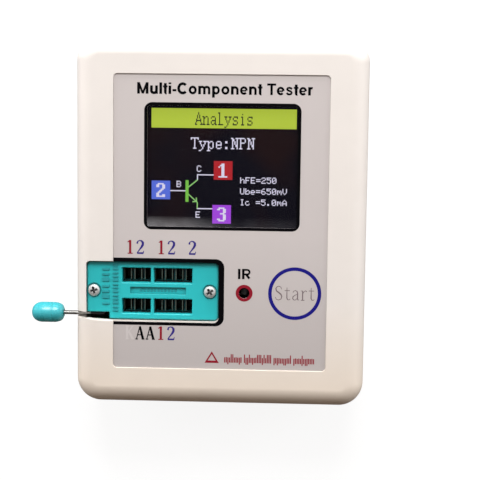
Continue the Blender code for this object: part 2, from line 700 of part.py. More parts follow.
def make_button(printed, white, black, metal):
    hinge = axis_empty("start_axis", (KEY_X, KEY_Y, FILM_TOP))
    place = (KEY_X, KEY_Y, 0)

    def on_axis(name, mesh, material):
        return piece(name, moved(mesh, KEY_X, KEY_Y), material, place, hinge)

    on_axis("start_key", cylinder(KEY_RADIUS, FILM_TOP - FILM_THICKNESS, FILM_TOP, steps=32), printed)

    plunger_top = 22.4 * MM
    cap_top = FILM_BED
    flange_top = PLATE_Z - GAP
    flange_bottom = flange_top - 0.9 * MM
    on_axis("button_cap", turned([
        (0, plunger_top + GAP), (2.2 * MM, plunger_top + GAP), (2.2 * MM, flange_bottom),
        (6.9 * MM, flange_bottom), (6.9 * MM, flange_top), (5.5 * MM, flange_top),
        (5.5 * MM, cap_top - 0.3 * MM), (5.2 * MM, cap_top), (0, cap_top)], 32), white)

    base = ON_BOARD
    cavity_floor = base + 0.5 * MM
    lid = 19.2 * MM
    housing_top = 20.1 * MM
    plunger_bottom = 18.2 * MM
    on_axis("switch_plunger", turned([
        (0, plunger_bottom), (2.4 * MM, plunger_bottom), (2.4 * MM, lid - GAP), (1.65 * MM, lid - GAP),
        (1.65 * MM, plunger_top), (0, plunger_top)], 16), black)

    housing = piece("switch_housing", moved(slab(7 * MM, 7 * MM, 0.5 * MM, base, housing_top, (0, 0)),
                                            KEY_X, KEY_Y), black, place)
    shape(housing, "DIFFERENCE", "cavity", cylinder(2.75 * MM, cavity_floor, lid, KEY_X, KEY_Y))
    shape(housing, "DIFFERENCE", "bore",
          cylinder(1.95 * MM, lid - 0.5 * MM, housing_top + 1 * MM, KEY_X, KEY_Y))

    # A shallow domed disc that snaps down when the plunger presses it.
    rim = cavity_floor + GAP
    rise = 0.45 * MM
    sheet = 0.12 * MM
    rim_radius = 2.4 * MM
    radii = [rim_radius * i / 4 for i in range(5)]
    lower = [(radius, rim + rise * (1 - (radius / rim_radius) ** 2)) for radius in radii]
    upper = [(radius, height + sheet) for radius, height in reversed(lower)]
    piece("switch_dome", moved(turned(lower + upper, 16), KEY_X, KEY_Y), metal, place)


def make_receiver(black):
    body = piece("ir_receiver", slab(5.4 * MM, 5.2 * MM, 0.4 * MM, ON_BOARD, 22.6 * MM, (IR_X, IR_Y)), black,
                 (IR_X, IR_Y, ON_BOARD))
    radius = 2 * MM
    sphere_z = PLATE_Z - GAP - radius
    dome = [(0, 22 * MM), (radius, 22 * MM)]
    dome += [(radius * math.cos(turn), sphere_z + radius * math.sin(turn))
             for turn in (QUARTER * i / 4 for i in range(4))]
    dome.append((0, sphere_z + radius))
    shape(body, "UNION", "lens", moved(turned(dome, 16), IR_X, IR_Y))


# ---------------------------------------------------------------- board

def make_board(laminate):
    board = piece("main_board", prism(rounded_rectangle(BOARD_WIDTH, BOARD_LENGTH, 1 * MM, steps=3),
                                      BOARD_BOTTOM, BOARD_TOP), laminate)
    low = BOARD_BOTTOM - 1 * MM
    high = BOARD_TOP + 1 * MM
    shape(board, "DIFFERENCE", "holes", together(
        [cylinder(1.1 * MM, low, high, side_x * BOARD_SCREW_X, side_y * BOARD_SCREW_Y, 12)
         for _, (side_x, side_y) in corner_signs()]
        + [box((x - 0.7 * MM, y - 0.9 * MM, low), (x + 0.5 * MM, y + 0.9 * MM, high)) for _, x, y in cells()]))


def make_chips(epoxy, metal, ceramic, lamp):
    top = UNDER_BOARD
    piece("mcu", slab(9 * MM, 9 * MM, 0.4 * MM, top - 1.6 * MM, top, (8 * MM, 8 * MM)), epoxy)
    piece("crystal", slab(11 * MM, 4.6 * MM, 2.25 * MM, top - 3.5 * MM, top, (9 * MM, -24 * MM),
                          edge_low=0.6 * MM), metal)
    piece("power_inductor", slab(6 * MM, 6 * MM, 1.2 * MM, top - 3 * MM, top, (20 * MM, -24 * MM),
                                 edge_low=0.5 * MM), ceramic)
    piece("capacitor", cylinder(2.5 * MM, top - 5.4 * MM, top, 24 * MM, -15 * MM), metal)
    piece("charge_led", slab(3.2 * MM, 1.6 * MM, 0.3 * MM, ON_BOARD, ON_BOARD + 1.1 * MM,
                             (30 * MM, USB_Y - 7 * MM)), lamp)


def make_usb(metal, black):
    low = ON_BOARD
    high = ON_BOARD + USB_HEIGHT
    sheet = 0.3 * MM
    half = USB_WIDTH / 2
    shell = piece("usb_shell", box((USB_BACK_X, USB_Y - half, low), (USB_FRONT_X, USB_Y + half, high)), metal)
    shape(shell, "DIFFERENCE", "mouth", box((USB_BACK_X + sheet, USB_Y - half + sheet, low + sheet),
                                            (USB_FRONT_X + 1 * MM, USB_Y + half - sheet, high - sheet)))
    middle = (low + high) / 2
    piece("usb_tongue", box((USB_BACK_X + sheet + GAP, USB_Y - 1.8 * MM, middle - 0.3 * MM),
                            (USB_FRONT_X - 0.8 * MM, USB_Y + 1.8 * MM, middle + 0.3 * MM)), black)


# ---------------------------------------------------------------- battery

def make_battery(pouch, foam, white, red, black):
    width, length, thickness = CELL_SIZE
    piece("battery_cell", slab(width, length, 2 * MM, CELL_BOTTOM, CELL_BOTTOM + thickness, (0, CELL_Y),
                               edge_low=1.2 * MM, edge_high=1.2 * MM), pouch)
    piece("battery_foam", slab(30 * MM, 20 * MM, 1 * MM, FLOOR + GAP, CELL_BOTTOM - GAP, (0, CELL_Y)), foam)

    connector = piece("battery_connector", box((-4 * MM, -33.5 * MM, 9.3 * MM), (4 * MM, -28 * MM, UNDER_BOARD)),
                      white)
    shape(connector, "DIFFERENCE", "mouth", box((-3.3 * MM, -32 * MM, 9.9 * MM),
                                                (3.3 * MM, -27 * MM, 13.7 * MM)))
    piece("battery_plug", box((-3 * MM, -31.7 * MM, 10.2 * MM), (3 * MM, PLUG_Y, 13.4 * MM)), white)

    # Each wire dips from the plug towards the cell's end in an even curve.
    cell_end = CELL_Y - length / 2 - GAP
    cell_z = CELL_BOTTOM + thickness / 2
    for name, side, insulation in (("battery_wire_red", 1, red), ("battery_wire_black", -1, black)):
        path = []
        for i in range(9):
            share = i / 8
            eased = share * share * (3 - 2 * share)
            path.append((side * (1 + 3 * eased) * MM, PLUG_Y + GAP + (cell_end - PLUG_Y - GAP) * share,
                         PLUG_Z + (cell_z - PLUG_Z) * eased))
        piece(name, sweep(path, circle(0.6 * MM, 8), (1, 0, 0)), insulation)


# ---------------------------------------------------------------- the whole tester

def main():
    for item in list(bpy.data.objects):
        bpy.data.objects.remove(item)

    cream = finish("case_plastic", (0.84, 0.77, 0.70), 0.45)
    printed = finish("front_film", (0.55, 0.53, 0.51), 0.4)
    teal = finish("socket_plastic", (0.03, 0.52, 0.52), 0.4)
    slider_plastic = finish("slider_plastic", (0.02, 0.12, 0.12), 0.5)
    steel = finish("steel", (0.62, 0.61, 0.59), 0.3, 1.0)
    spring = finish("contact_metal", (0.45, 0.48, 0.44), 0.35, 1.0)
    glass = finish("display_glass", (0.01, 0.01, 0.015), 0.1)
    white = finish("white_plastic", (0.75, 0.74, 0.70), 0.45)
    black = finish("black_plastic", (0.015, 0.015, 0.015), 0.4)
    foam = finish("foam", (0.05, 0.05, 0.05), 0.95)
    flex = finish("flex_circuit", (0.45, 0.22, 0.04), 0.35)
    laminate = finish("circuit_board", (0.01, 0.12, 0.05), 0.4)
    lamp = finish("lamp_resin", (0.85, 0.82, 0.55), 0.3)
    pouch = finish("battery_pouch", (0.55, 0.56, 0.58), 0.35, 0.6)
    red = finish("red_insulation", (0.55, 0.02, 0.02), 0.45)

    make_front_shell(cream)
    make_rear_cover(cream)
    make_film(printed)
    make_case_screws(steel)
    make_board_screws(steel)
    make_display(glass, white, foam, flex)
    make_socket_base(teal)
    make_socket_cover(teal)
    make_socket_screws(steel)
    make_contacts(spring)
    make_slider(slider_plastic)
    make_lever(steel, teal)
    make_button(printed, white, black, spring)
    make_receiver(black)
    make_board(laminate)
    make_chips(black, steel, foam, lamp)
    make_usb(steel, black)
    make_battery(pouch, foam, white, red, black)


main()
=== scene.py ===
import json
import math
import random
import re

import bmesh
import bpy
from mathutils import Matrix, Vector


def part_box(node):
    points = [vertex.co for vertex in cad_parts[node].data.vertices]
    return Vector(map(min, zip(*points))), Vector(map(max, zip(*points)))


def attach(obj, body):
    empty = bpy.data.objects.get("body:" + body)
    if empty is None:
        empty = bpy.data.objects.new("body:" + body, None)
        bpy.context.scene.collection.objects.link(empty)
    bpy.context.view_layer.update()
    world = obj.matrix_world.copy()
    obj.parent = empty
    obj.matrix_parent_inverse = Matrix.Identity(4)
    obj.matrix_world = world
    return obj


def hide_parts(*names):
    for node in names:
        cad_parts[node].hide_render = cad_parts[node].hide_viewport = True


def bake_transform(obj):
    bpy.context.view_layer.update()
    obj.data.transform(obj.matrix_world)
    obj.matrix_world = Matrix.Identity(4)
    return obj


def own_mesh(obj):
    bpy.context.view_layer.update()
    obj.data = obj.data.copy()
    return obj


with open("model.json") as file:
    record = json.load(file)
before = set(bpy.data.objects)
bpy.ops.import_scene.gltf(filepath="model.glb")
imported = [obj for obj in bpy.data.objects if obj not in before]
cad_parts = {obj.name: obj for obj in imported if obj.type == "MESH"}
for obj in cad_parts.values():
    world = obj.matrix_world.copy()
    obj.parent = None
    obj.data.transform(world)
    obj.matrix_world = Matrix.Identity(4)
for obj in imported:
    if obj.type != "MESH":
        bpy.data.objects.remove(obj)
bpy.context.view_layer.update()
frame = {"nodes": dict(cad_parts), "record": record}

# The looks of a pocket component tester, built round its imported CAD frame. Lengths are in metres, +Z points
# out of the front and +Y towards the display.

MM = 0.001
QUARTER = math.pi / 2


def middle_of(name):
    """The middle of one of the frame's nodes."""
    low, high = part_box(name)
    return (low + high) / 2


# Where things are: read from the frame
SHELL_LOW, SHELL_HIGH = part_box("front_shell")
COVER_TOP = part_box("rear_cover")[1].z
FILM_LOW, FILM_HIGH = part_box("front_overlay")
SOCKET_LOW, SOCKET_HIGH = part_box("zif_cover")
KNOB_LOW, KNOB_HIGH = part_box("zif_knob")
LEVER_LOW, LEVER_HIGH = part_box("zif_lever")
CASE_WIDTH = SHELL_HIGH.x - SHELL_LOW.x
CASE_LENGTH = SHELL_HIGH.y - SHELL_LOW.y
FACE = SHELL_HIGH.z                      # the bezel round the film
FILM_TOP = FILM_HIGH.z
SOCKET_FACE = SOCKET_HIGH.z
KEY = middle_of("start_key")
KEY_RADIUS = KEY.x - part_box("start_key")[0].x
PANEL = middle_of("lcd_panel")
SOCKET = middle_of("zif_cover")
IR = middle_of("ir_receiver")
USB = middle_of("usb_shell")
WIRE_Y, WIRE_Z = middle_of("zif_knob").yz
FIRST_CONTACT = middle_of("zif_contact_1")
PITCH = (middle_of("zif_contact_2") - FIRST_CONTACT).x

# Shapes of the case
CASE_CORNER = 6 * MM
FRONT_FILLET = 4.6 * MM
REAR_FILLET = 3 * MM
WALL = 2.2 * MM
FRONT_PLATE = 2.3 * MM
FLOOR = 2 * MM
LIP = 1 * MM                             # thickness of the front half's rim, which is STEP high
STEP = 1.2 * MM
TONGUE = 1.25 * MM                       # how far in the rear cover's tongue stands
FILM_CORNER = 0.9 * MM
GAP = 0.3 * MM
FILM_GAP = 0.05 * MM
EDGE = 0.18 * MM                         # how far moulded edges are broken
DISPLAY_OPENING = (38 * MM, 31.3 * MM)
DISPLAY_MASK = (37.8 * MM, 30.7 * MM)    # the black border printed round the window, outside
MASK_CORNER = 1.9 * MM
WINDOW = (36.2 * MM, 29.2 * MM)
WINDOW_CORNER = 0.5 * MM
MOUTH = (8.8 * MM, 3.6 * MM)             # for the charging plug
RECEIVER_HOLE = 1.3 * MM
INK = 0.012 * MM                         # how far print stands on the film

# Shapes of the test socket
SOCKET_CORNER = 1 * MM
SOCKET_EDGE = 0.45 * MM
COVER_PLATE = 2 * MM
COVER_SKIRT = 0.8 * MM
NOTCH_RIGHT = -27.1 * MM
NOTCH_TOP = -22.3 * MM
SLOT_LEFT = -31.9 * MM
SLOT_BOTTOM = -24 * MM
SEAT_RIGHT = SOCKET_HIGH.x + 0.12 * MM   # the case's opening for the socket
SEAT_TOP = SOCKET_HIGH.y + 0.12 * MM
SEAT_LEFT = SOCKET_LOW.x - 0.07 * MM
SEAT_BOTTOM = SOCKET_LOW.y - 0.15 * MM
SEAT_CORNER = SOCKET_CORNER + GAP
PRINT_BOTTOM = SOCKET_LOW.y - 0.38 * MM  # the film's cut-out leaves a lip of the case in view here
WIRE = 0.5 * MM
ROW_OFFSET = 1.5 * PITCH
WINDOW_HEIGHT = 3.6 * MM
WINDOW_RIB = 0.75 * MM
RECESS = 0.6 * MM                        # depth of the long recess between the two rows
RECESS_Y = SOCKET.y + 0.05 * MM
CELL_LEFT = FIRST_CONTACT.x - PITCH / 2 + 0.12 * MM
SCREW_PLACES = (-30.9 * MM, -2.4 * MM)

random.seed(7)


# ---------- shapes

def rounded_outline(corners, steps=10):
    """An outline through (x, y, radius) corners, each rounded to its own radius."""
    outline = []
    for i, (x, y, radius) in enumerate(corners):
        corner = Vector((x, y))
        if radius <= 0:
            outline.append((x, y))
            continue
        back = (Vector(corners[i - 1][:2]) - corner).normalized()
        ahead = (Vector(corners[(i + 1) % len(corners)][:2]) - corner).normalized()
        half = back.angle(ahead) / 2
        centre = corner + (back + ahead).normalized() * radius / math.sin(half)
        spoke = corner + back * radius / math.tan(half) - centre
        turn = math.copysign(math.pi - 2 * half, -back.cross(ahead))
        for step in range(steps + 1):
            angle = turn * step / steps
            outline.append((centre.x + spoke.x * math.cos(angle) - spoke.y * math.sin(angle),
                            centre.y + spoke.x * math.sin(angle) + spoke.y * math.cos(angle)))
    return outline


def rounded_rectangle(width, length, radius, centre=(0, 0), steps=10):
    right = centre[0] + width / 2
    left = centre[0] - width / 2
    top = centre[1] + length / 2
    bottom = centre[1] - length / 2
    return rounded_outline([(right, bottom, radius), (right, top, radius),
                            (left, top, radius), (left, bottom, radius)], steps)


def circle(radius, steps, centre=(0, 0)):
    return [(centre[0] + radius * math.cos(2 * math.pi * i / steps),
             centre[1] + radius * math.sin(2 * math.pi * i / steps)) for i in range(steps)]


def growing_rectangle(width, length, radius, centre=(0, 0), steps=10):
    """A rounded rectangle as an outline that takes its growth."""
    return lambda growth: rounded_rectangle(width + 2 * growth, length + 2 * growth, radius + growth,
                                            centre, steps)


def growing_circle(radius, steps, centre=(0, 0)):
    return lambda growth: circle(radius + growth, steps, centre)


def at(outline, height):
    return [(x, y, height) for x, y in outline]


def loft(rings):
    """A closed body through rings of equally many points, with a cap on the first and the last."""
    mesh = bmesh.new()
    loops = [[mesh.verts.new(point) for point in ring] for ring in rings]
    for near, far in zip(loops, loops[1:]):
        for i, corner in enumerate(near):
            mesh.faces.new((near[i - 1], corner, far[i], far[i - 1]))
    mesh.faces.new(loops[0])
    mesh.faces.new(loops[-1])
    bmesh.ops.recalc_face_normals(mesh, faces=mesh.faces)
    return mesh


def prism(outline, low, high):
    return loft([at(outline, low), at(outline, high)])


def quarter_turn(steps):
    return [QUARTER * i / steps for i in range(steps + 1)]


def rounded_top(outline, face, edge, side, steps):
    """Rings up to a face whose rim is rounded: outwards with side 1, inwards with side -1."""
    return [at(outline(side * edge * (1 - math.cos(turn))), face - edge * (1 - math.sin(turn)))
            for turn in quarter_turn(steps)]


def opening(outline, low, face, edge=EDGE):
    """A cutter for a hole through a face, which also rounds the hole's rim. The outline takes its growth."""
    return loft([at(outline(0), low)] + rounded_top(outline, face, edge, 1, 4)
                + [at(outline(edge), face + MM)])


def turned(profile, steps=48):
    """A body turned about Z from (radius, height) points that start and end on the axis."""
    mesh = bmesh.new()
    line = [mesh.verts.new((radius, 0, height)) for radius, height in profile]
    edges = [mesh.edges.new(pair) for pair in zip(line, line[1:])]
    bmesh.ops.spin(mesh, geom=line + edges, axis=(0, 0, 1), cent=(0, 0, 0), angle=2 * math.pi,
                   steps=steps, use_merge=True)
    bmesh.ops.remove_doubles(mesh, verts=mesh.verts, dist=1e-7)
    bmesh.ops.recalc_face_normals(mesh, faces=mesh.faces)
    return mesh


def cylinder(radius, low, high, x=0.0, y=0.0, steps=48):
    return moved(turned([(0, low), (radius, low), (radius, high), (0, high)], steps), x, y)


def round_bar(path, radius):
    """A round bar along a line of points."""
    points = [Vector(point) for point in path]
    side = Vector((0, 0, 1))
    rings = []
    for i, point in enumerate(points):
        along = (points[min(i + 1, len(points) - 1)] - points[max(i - 1, 0)]).normalized()
        side = (side - along * side.dot(along)).normalized()
        other = along.cross(side)
        rings.append([point + side * u + other * v for u, v in circle(radius, 28)])
    return loft(rings)


def flat_fill(outer, holes):
    """A flat sheet at height 0, inside the outer outline and outside the holes."""
    mesh = bmesh.new()
    edges = []
    for outline in (outer, *holes):
        corners = [mesh.verts.new((x, y, 0)) for x, y in outline]
        edges += [mesh.edges.new(pair) for pair in zip(corners, corners[1:] + corners[:1])]
    bmesh.ops.triangle_fill(mesh, edges=edges, use_beauty=True)
    return mesh


def band(outer, inner, closed=True):
    """A flat band at height 0 between two outlines of equally many points."""
    mesh = bmesh.new()
    rows = [[mesh.verts.new((x, y, 0)) for x, y in outline] for outline in (outer, inner)]
    for i in range(0 if closed else 1, len(outer)):
        mesh.faces.new((rows[0][i - 1], rows[0][i], rows[1][i], rows[1][i - 1]))
    return mesh


def patch(x, y, wide, tall):
    """A flat rectangle at height 0, from its lower left corner."""
    return band([(x, y), (x + wide, y)], [(x, y + tall), (x + wide, y + tall)], closed=False)


def thickened(mesh, low, high):
    """The flat sheet as a closed body between two heights. A part drawn a hair higher stays a hair higher."""
    upper = set(bmesh.ops.extrude_face_region(mesh, geom=mesh.faces[:])["geom"])
    for point in mesh.verts:
        point.co.z += high if point in upper else low
    bmesh.ops.recalc_face_normals(mesh, faces=mesh.faces)
    return mesh


def moved(mesh, x=0.0, y=0.0, z=0.0):
    mesh.transform(Matrix.Translation((x, y, z)))
    return mesh


def rotated(mesh, angle, axis):
    mesh.transform(Matrix.Rotation(angle, 4, axis))
    return mesh


def together(meshes):
    """One mesh of several separate bodies."""
    whole = bmesh.new()
    for mesh in meshes:
        data = bpy.data.meshes.new("body")
        mesh.to_mesh(data)
        mesh.free()
        whole.from_mesh(data)
        bpy.data.meshes.remove(data)
    return whole


# ---------- objects

def loose_object(name, mesh):
    data = bpy.data.meshes.new(name)
    mesh.to_mesh(data)
    mesh.free()
    item = bpy.data.objects.new(name, data)
    bpy.context.scene.collection.objects.link(item)
    return item


def carve(item, mesh):
    """Cut bodies out of an object."""
    tool = loose_object("tool", mesh)
    step = item.modifiers.new("carve", "BOOLEAN")
    step.operation = "DIFFERENCE"
    step.solver = "EXACT"
    step.object = tool
    graph = bpy.context.evaluated_depsgraph_get()
    data = bpy.data.meshes.new_from_object(item.evaluated_get(graph))
    item.modifiers.clear()
    item.data = data
    bpy.data.objects.remove(tool)


def dress(item, look, body="case", sharp=35):
    """Shade and paint a finished object and let it ride on its body."""
    item.data.materials.clear()
    item.data.materials.append(look)
    item.data.shade_smooth()
    item.data.set_sharp_from_angle(angle=math.radians(sharp))
    if body:
        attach(item, body)
    return item


def piece(name, mesh, look, body="case"):
    return dress(loose_object(name, mesh), look, body)


def stand_in(node, name, mesh, look, body="case"):
    """A finished object in the place of one of the frame's nodes."""
    item = piece(name, mesh, look, body)
    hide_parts(node)
    return item


def dress_moulding(item, look, node):
    """Put a large moulding in its node's place, and shade its very unequal faces evenly, by their area."""
    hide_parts(node)
    dress(item, look, sharp=40)
    step = item.modifiers.new("even_shading", "WEIGHTED_NORMAL")
    step.keep_sharp = True
    step.weight = 80


def dips_with_key(item):
    """Bake a printed sheet's placement into its mesh."""
    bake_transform(item)


# ---------- materials

def srgb(red, green, blue):
    """A colour as a screen shows it, from 0 to 255, for a shader."""
    def linear(value):
        value /= 255
        return value / 12.92 if value <= 0.04045 else ((value + 0.055) / 1.055) ** 2.4
    return (linear(red), linear(green), linear(blue), 1)


def shade(colour, factor):
    return tuple(min(value * factor, 1) for value in colour[:3]) + (1,)


def is_output(value):
    return isinstance(value, bpy.types.NodeSocket)


class Shading:
    """A node tree being built. Every value may be a number, a colour or another node's output."""

    def __init__(self, tree, space):
        self.tree = tree
        self.place = self.node("TexCoord").outputs[space]

    def node(self, kind, inputs=None, **settings):
        made = self.tree.nodes.new("ShaderNode" + kind)
        for name, value in settings.items():
            setattr(made, name, value)
        for name, value in (inputs or {}).items():
            self.feed(made.inputs[name], value)
        return made

    def feed(self, target, value):
        if is_output(value):
            self.tree.links.new(value, target)
        else:
            target.default_value = value

    def math(self, operation, one, other):
        return self.node("Math", {0: one, 1: other}, operation=operation).outputs[0]

    def times(self, one, other):
        return self.math("MULTIPLY", one, other)

    def mapped(self, value, start, end, low=0.0, high=1.0):
        """The value's stretch from start to end, spread over low to high and held there outside."""
        return self.node("MapRange", {"Value": value, "From Min": start, "From Max": end,
                                      "To Min": low, "To Max": high}).outputs["Result"]

    def mixed(self, factor, one, other):
        """A colour that goes from one to the other."""
        made = self.node("Mix", data_type="RGBA")
        targets = [socket for socket in made.inputs if socket.enabled]
        for target, value in zip(targets, (factor, one, other)):
            self.feed(target, value)
        return [socket for socket in made.outputs if socket.enabled][0]

    def along(self, axis):
        return self.node("SeparateXYZ", {0: self.place}).outputs[axis]


class Look(Shading):
    """A material being built: its main shader, and textures laid out in the object's own space. The sizes
    it takes are in millimetres."""

    def __init__(self, name, roughness=0.5, metallic=0.0):
        self.material = bpy.data.materials.new(name)
        self.material.use_nodes = True
        super().__init__(self.material.node_tree, "Object")
        self.set("Roughness", roughness)
        self.set("Metallic", metallic)

    def set(self, name, value):
        """Set one of the main shader's inputs."""
        self.feed(self.tree.nodes["Principled BSDF"].inputs[name], value)

    def noise(self, size, detail=2.0, stretch=(1, 1, 1)):
        """Clouds from 0 to 1, about size across."""
        spread = self.node("VectorMath", {0: self.place, 1: [1 / (size * MM * part) for part in stretch]},
                           operation="MULTIPLY")
        clouds = self.node("TexNoise", {"Vector": spread.outputs[0], "Scale": 1, "Detail": detail})
        return clouds.outputs["Fac"]

    def specks(self, spacing, size, keep=0.3):
        """1 inside small scattered dots and 0 outside; keep is the share of cells that hold a dot."""
        cells = self.node("TexVoronoi", {"Vector": self.place, "Scale": 1 / (spacing * MM)}).outputs
        dots = self.mapped(cells["Distance"], size / spacing, 0.6 * size / spacing)
        draw = self.node("SeparateColor", {"Color": cells["Color"]}).outputs["Red"]
        return self.times(dots, self.math("LESS_THAN", draw, keep))

    def bricks(self, wide, tall, mortar, **settings):
        """A grid of rectangles with lines of the width mortar between them."""
        return self.node("TexBrick", {"Vector": self.place, "Scale": 1, "Brick Width": wide * MM,
                                      "Row Height": tall * MM, "Mortar Size": mortar * MM}, **settings)

    def dimmed(self, colour, factor):
        """The colour times a number."""
        if not is_output(colour):
            return shade(colour, factor)
        return self.node("VectorMath", {0: colour, "Scale": factor}, operation="SCALE").outputs[0]

    def bump(self, height, depth, under=None):
        """The surface with a relief of the given depth, on top of the relief under it."""
        made = self.node("Bump", {"Strength": 1, "Distance": depth * MM, "Height": height})
        if under:
            self.feed(made.inputs["Normal"], under)
        return made.outputs["Normal"]

    def crevices(self, reach):
        """0 in tight corners and 1 on open faces."""
        return self.node("AmbientOcclusion", {"Distance": reach * MM}, samples=6).outputs["AO"]

    def uneven_roughness(self, size, detail, low, high):
        self.set("Roughness", self.mapped(self.noise(size, detail), 0.3, 0.7, low, high))


def moulded(name, colour, roughness, grain, grain_depth, corner_shade=0.8, gloss=0.5, near_shade_colour=None):
    """Injection-moulded plastic: a fine eroded grain, faint flow clouds, and painted shade darkening its
    corners. A colour for the near end, if given, is painted shade too: the plastic turns warmer and darker
    towards it."""
    look = Look(name)
    colour = srgb(*colour)
    if near_shade_colour:
        # Painted shade: the plastic turns warmer and darker towards the near end
        near = look.mapped(look.along("Y"), -18 * MM, -CASE_LENGTH / 2)
        colour = look.mixed(near, colour, srgb(*near_shade_colour))
    clouds = look.mixed(look.noise(9, 3), look.dimmed(colour, 0.96), look.dimmed(colour, 1.03))
    # Painted shade: corners and creases darken by the given factor, from ambient occlusion
    open_faces = look.mapped(look.crevices(1.2), 0.25, 0.95)
    look.set("Base Color", look.mixed(open_faces, look.dimmed(colour, corner_shade), clouds))
    look.uneven_roughness(1.6, 4, roughness - 0.05, roughness + 0.07)
    look.set("Specular IOR Level", gloss)
    sink = look.bump(look.noise(14, 1), 0.03)
    look.set("Normal", look.bump(look.noise(grain, 2), grain_depth, sink))
    return look.material


def printed(name, colour, near=1.0, sheen=0.2):
    """Ink under a satin film: the film's fine velvet surface with a thin lacquer sheen. Near is how dark the
    ink gets towards the near edge, as painted shade."""
    look = Look(name)
    colour = srgb(*colour)
    tone = look.mixed(look.noise(5, 4), shade(colour, 0.97), colour)
    # Painted shade: the ink darkens towards the near edge
    tone = look.mixed(look.mapped(look.along("Y"), FILM_LOW.y, -3 * MM), shade(colour, near), tone)
    dust = look.specks(2.6, 0.05, 0.25)
    look.set("Base Color", look.mixed(dust, tone, shade(colour, 0.7)))
    look.uneven_roughness(3, 3, 0.36, 0.5)
    look.set("Specular IOR Level", sheen)
    wave = look.bump(look.noise(18, 1), 0.05)
    look.set("Normal", look.bump(look.noise(0.11, 2), 0.003, wave))
    return look.material


def metal(name, colour, roughness, brush=(1, 1, 1), tarnish=0.75, reach=0.8, shine=1.0):
    """Plated or bare metal with fine marks along one way, a patchy tarnish, and painted shade that darkens it
    nearly to black within reach of a wall. A shine below 1 is a milky plating."""
    look = Look(name, metallic=shine)
    colour = srgb(*colour)
    patches = look.mapped(look.noise(1.3, 4), 0.4, 0.7)
    # Painted shade: near black within reach of a wall, from ambient occlusion
    open_faces = look.mapped(look.crevices(reach), 0.35, 0.75)
    worn = look.mixed(patches, colour, shade(colour, tarnish))
    look.set("Base Color", look.mixed(open_faces, shade(colour, 0.06), worn))
    marks = look.noise(0.12, 3, brush)
    look.set("Roughness", look.mapped(marks, 0.3, 0.7, roughness * 0.7, roughness * 1.4))
    look.set("Normal", look.bump(marks, 0.004))
    return look.material


def clear_film():
    """The unprinted window of the film: clear, with dust all over, and a whitish painted glare over its lower
    left, where more dust shows.
    """
    look = Look("clear_film")
    through = look.node("BsdfTransparent", {"Color": (0.93, 0.93, 0.95, 1)})
    mirror = look.node("BsdfGlossy", {"Roughness": 0.12})
    pale_dust_and_glare = look.node("BsdfDiffuse", {"Color": (0.8, 0.8, 0.82, 1)})
    outside = look.math("SUBTRACT", 1, look.node("NewGeometry").outputs["Backfacing"])
    mirrored = look.times(look.node("Fresnel", {"IOR": 1.2}).outputs[0], outside)
    sheet = look.node("MixShader", {0: mirrored, 1: through.outputs[0], 2: mirror.outputs[0]})

    # Painted glare: a whitish veil over the window's lower left stands in for a reflection; denser dust
    # specks show within it
    low_edge = PANEL.y - WINDOW[1] / 2
    low_part = look.mapped(look.along("Y"), low_edge, low_edge + 2.6 * MM, 1, 0)
    left_part = look.mapped(look.along("X"), PANEL.x - WINDOW[0] / 2, PANEL.x, 1, 0.1)
    corner = look.times(low_part, left_part)
    painted_glare = look.times(look.times(corner, look.mapped(look.noise(6), 0.2, 0.8)), 0.32)
    dust = look.times(look.specks(3.1, 0.09, 0.3), 0.4)
    dust_in_glare = look.times(look.times(look.specks(0.8, 0.07, 0.4), corner), 0.5)
    cover = look.math("MAXIMUM", look.math("MAXIMUM", painted_glare, dust), dust_in_glare)
    whole = look.node("MixShader", {0: cover, 1: sheet.outputs[0], 2: pale_dust_and_glare.outputs[0]})
    look.feed(look.tree.nodes["Material Output"].inputs["Surface"], whole.outputs[0])
    return look.material


PIXEL = 0.221                            # of the display, in millimetres


def glowing(name, colour, strength):
    """Lit picture elements: a grid of small dots with dark lines between them."""
    look = Look(name, 0.3)
    colour = srgb(*colour)
    cells = look.bricks(PIXEL, PIXEL, PIXEL * 0.06, offset=0)
    for part, factor in (("Color1", 1), ("Color2", 0.95), ("Mortar", 0.7)):
        cells.inputs[part].default_value = shade(colour, factor)
    look.set("Base Color", shade(colour, 0.2))
    look.set("Emission Color", look.mixed(look.noise(12, 2), shade(colour, 0.9), cells.outputs["Color"]))
    look.set("Emission Strength", strength)
    return look.material


def panel_glass():
    """The dark face of the display: a bluish black with the warm glow that leaks from its backlight."""
    look = Look("panel_glass")
    warm = look.mapped(look.noise(16, 1), 0.42, 0.66)
    look.set("Base Color", look.mixed(warm, srgb(8, 6, 14), srgb(22, 10, 12)))
    look.set("Emission Color", look.mixed(warm, srgb(8, 6, 20), srgb(34, 14, 14)))
    look.set("Emission Strength", 0.35)
    look.set("Specular IOR Level", 0.1)
    look.uneven_roughness(4, 3, 0.15, 0.3)
    return look.material


def foam_look():
    look = Look("foam_cells", 0.95)
    cells = look.noise(0.35, 3)
    look.set("Base Color", look.mixed(cells, srgb(22, 22, 24), srgb(60, 60, 62)))
    look.set("Normal", look.bump(cells, 0.15))
    return look.material


def board_look():
    """Green solder mask over tracks, seen as slightly raised and lighter lines."""
    look = Look("solder_mask")
    track = look.bricks(4, 1.1, 0.14).outputs["Fac"]
    look.set("Base Color", look.mixed(track, srgb(6, 74, 34), srgb(22, 112, 58)))
    look.set("Normal", look.bump(track, 0.03))
    look.uneven_roughness(2, 3, 0.28, 0.45)
    return look.material


# ---------- case

def case_ring(inset, height):
    return at(growing_rectangle(CASE_WIDTH, CASE_LENGTH, CASE_CORNER, steps=14)(-inset), height)


def fillet_rings(radius, start, side, steps=14):
    """The case's outside as it rounds over from its walls to its front (side 1) or its rear (side -1)."""
    return [case_ring(radius * (1 - math.cos(turn)), start + side * radius * math.sin(turn))
            for turn in quarter_turn(steps)]


def broken_edge(height, side, radius=0.25 * MM, steps=3):
    """The rounded outer edge at the parting line; side is 1 where the body is above the edge."""
    return [case_ring(radius * (1 - math.sin(turn)), height + side * radius * (1 - math.cos(turn)))
            for turn in quarter_turn(steps)]


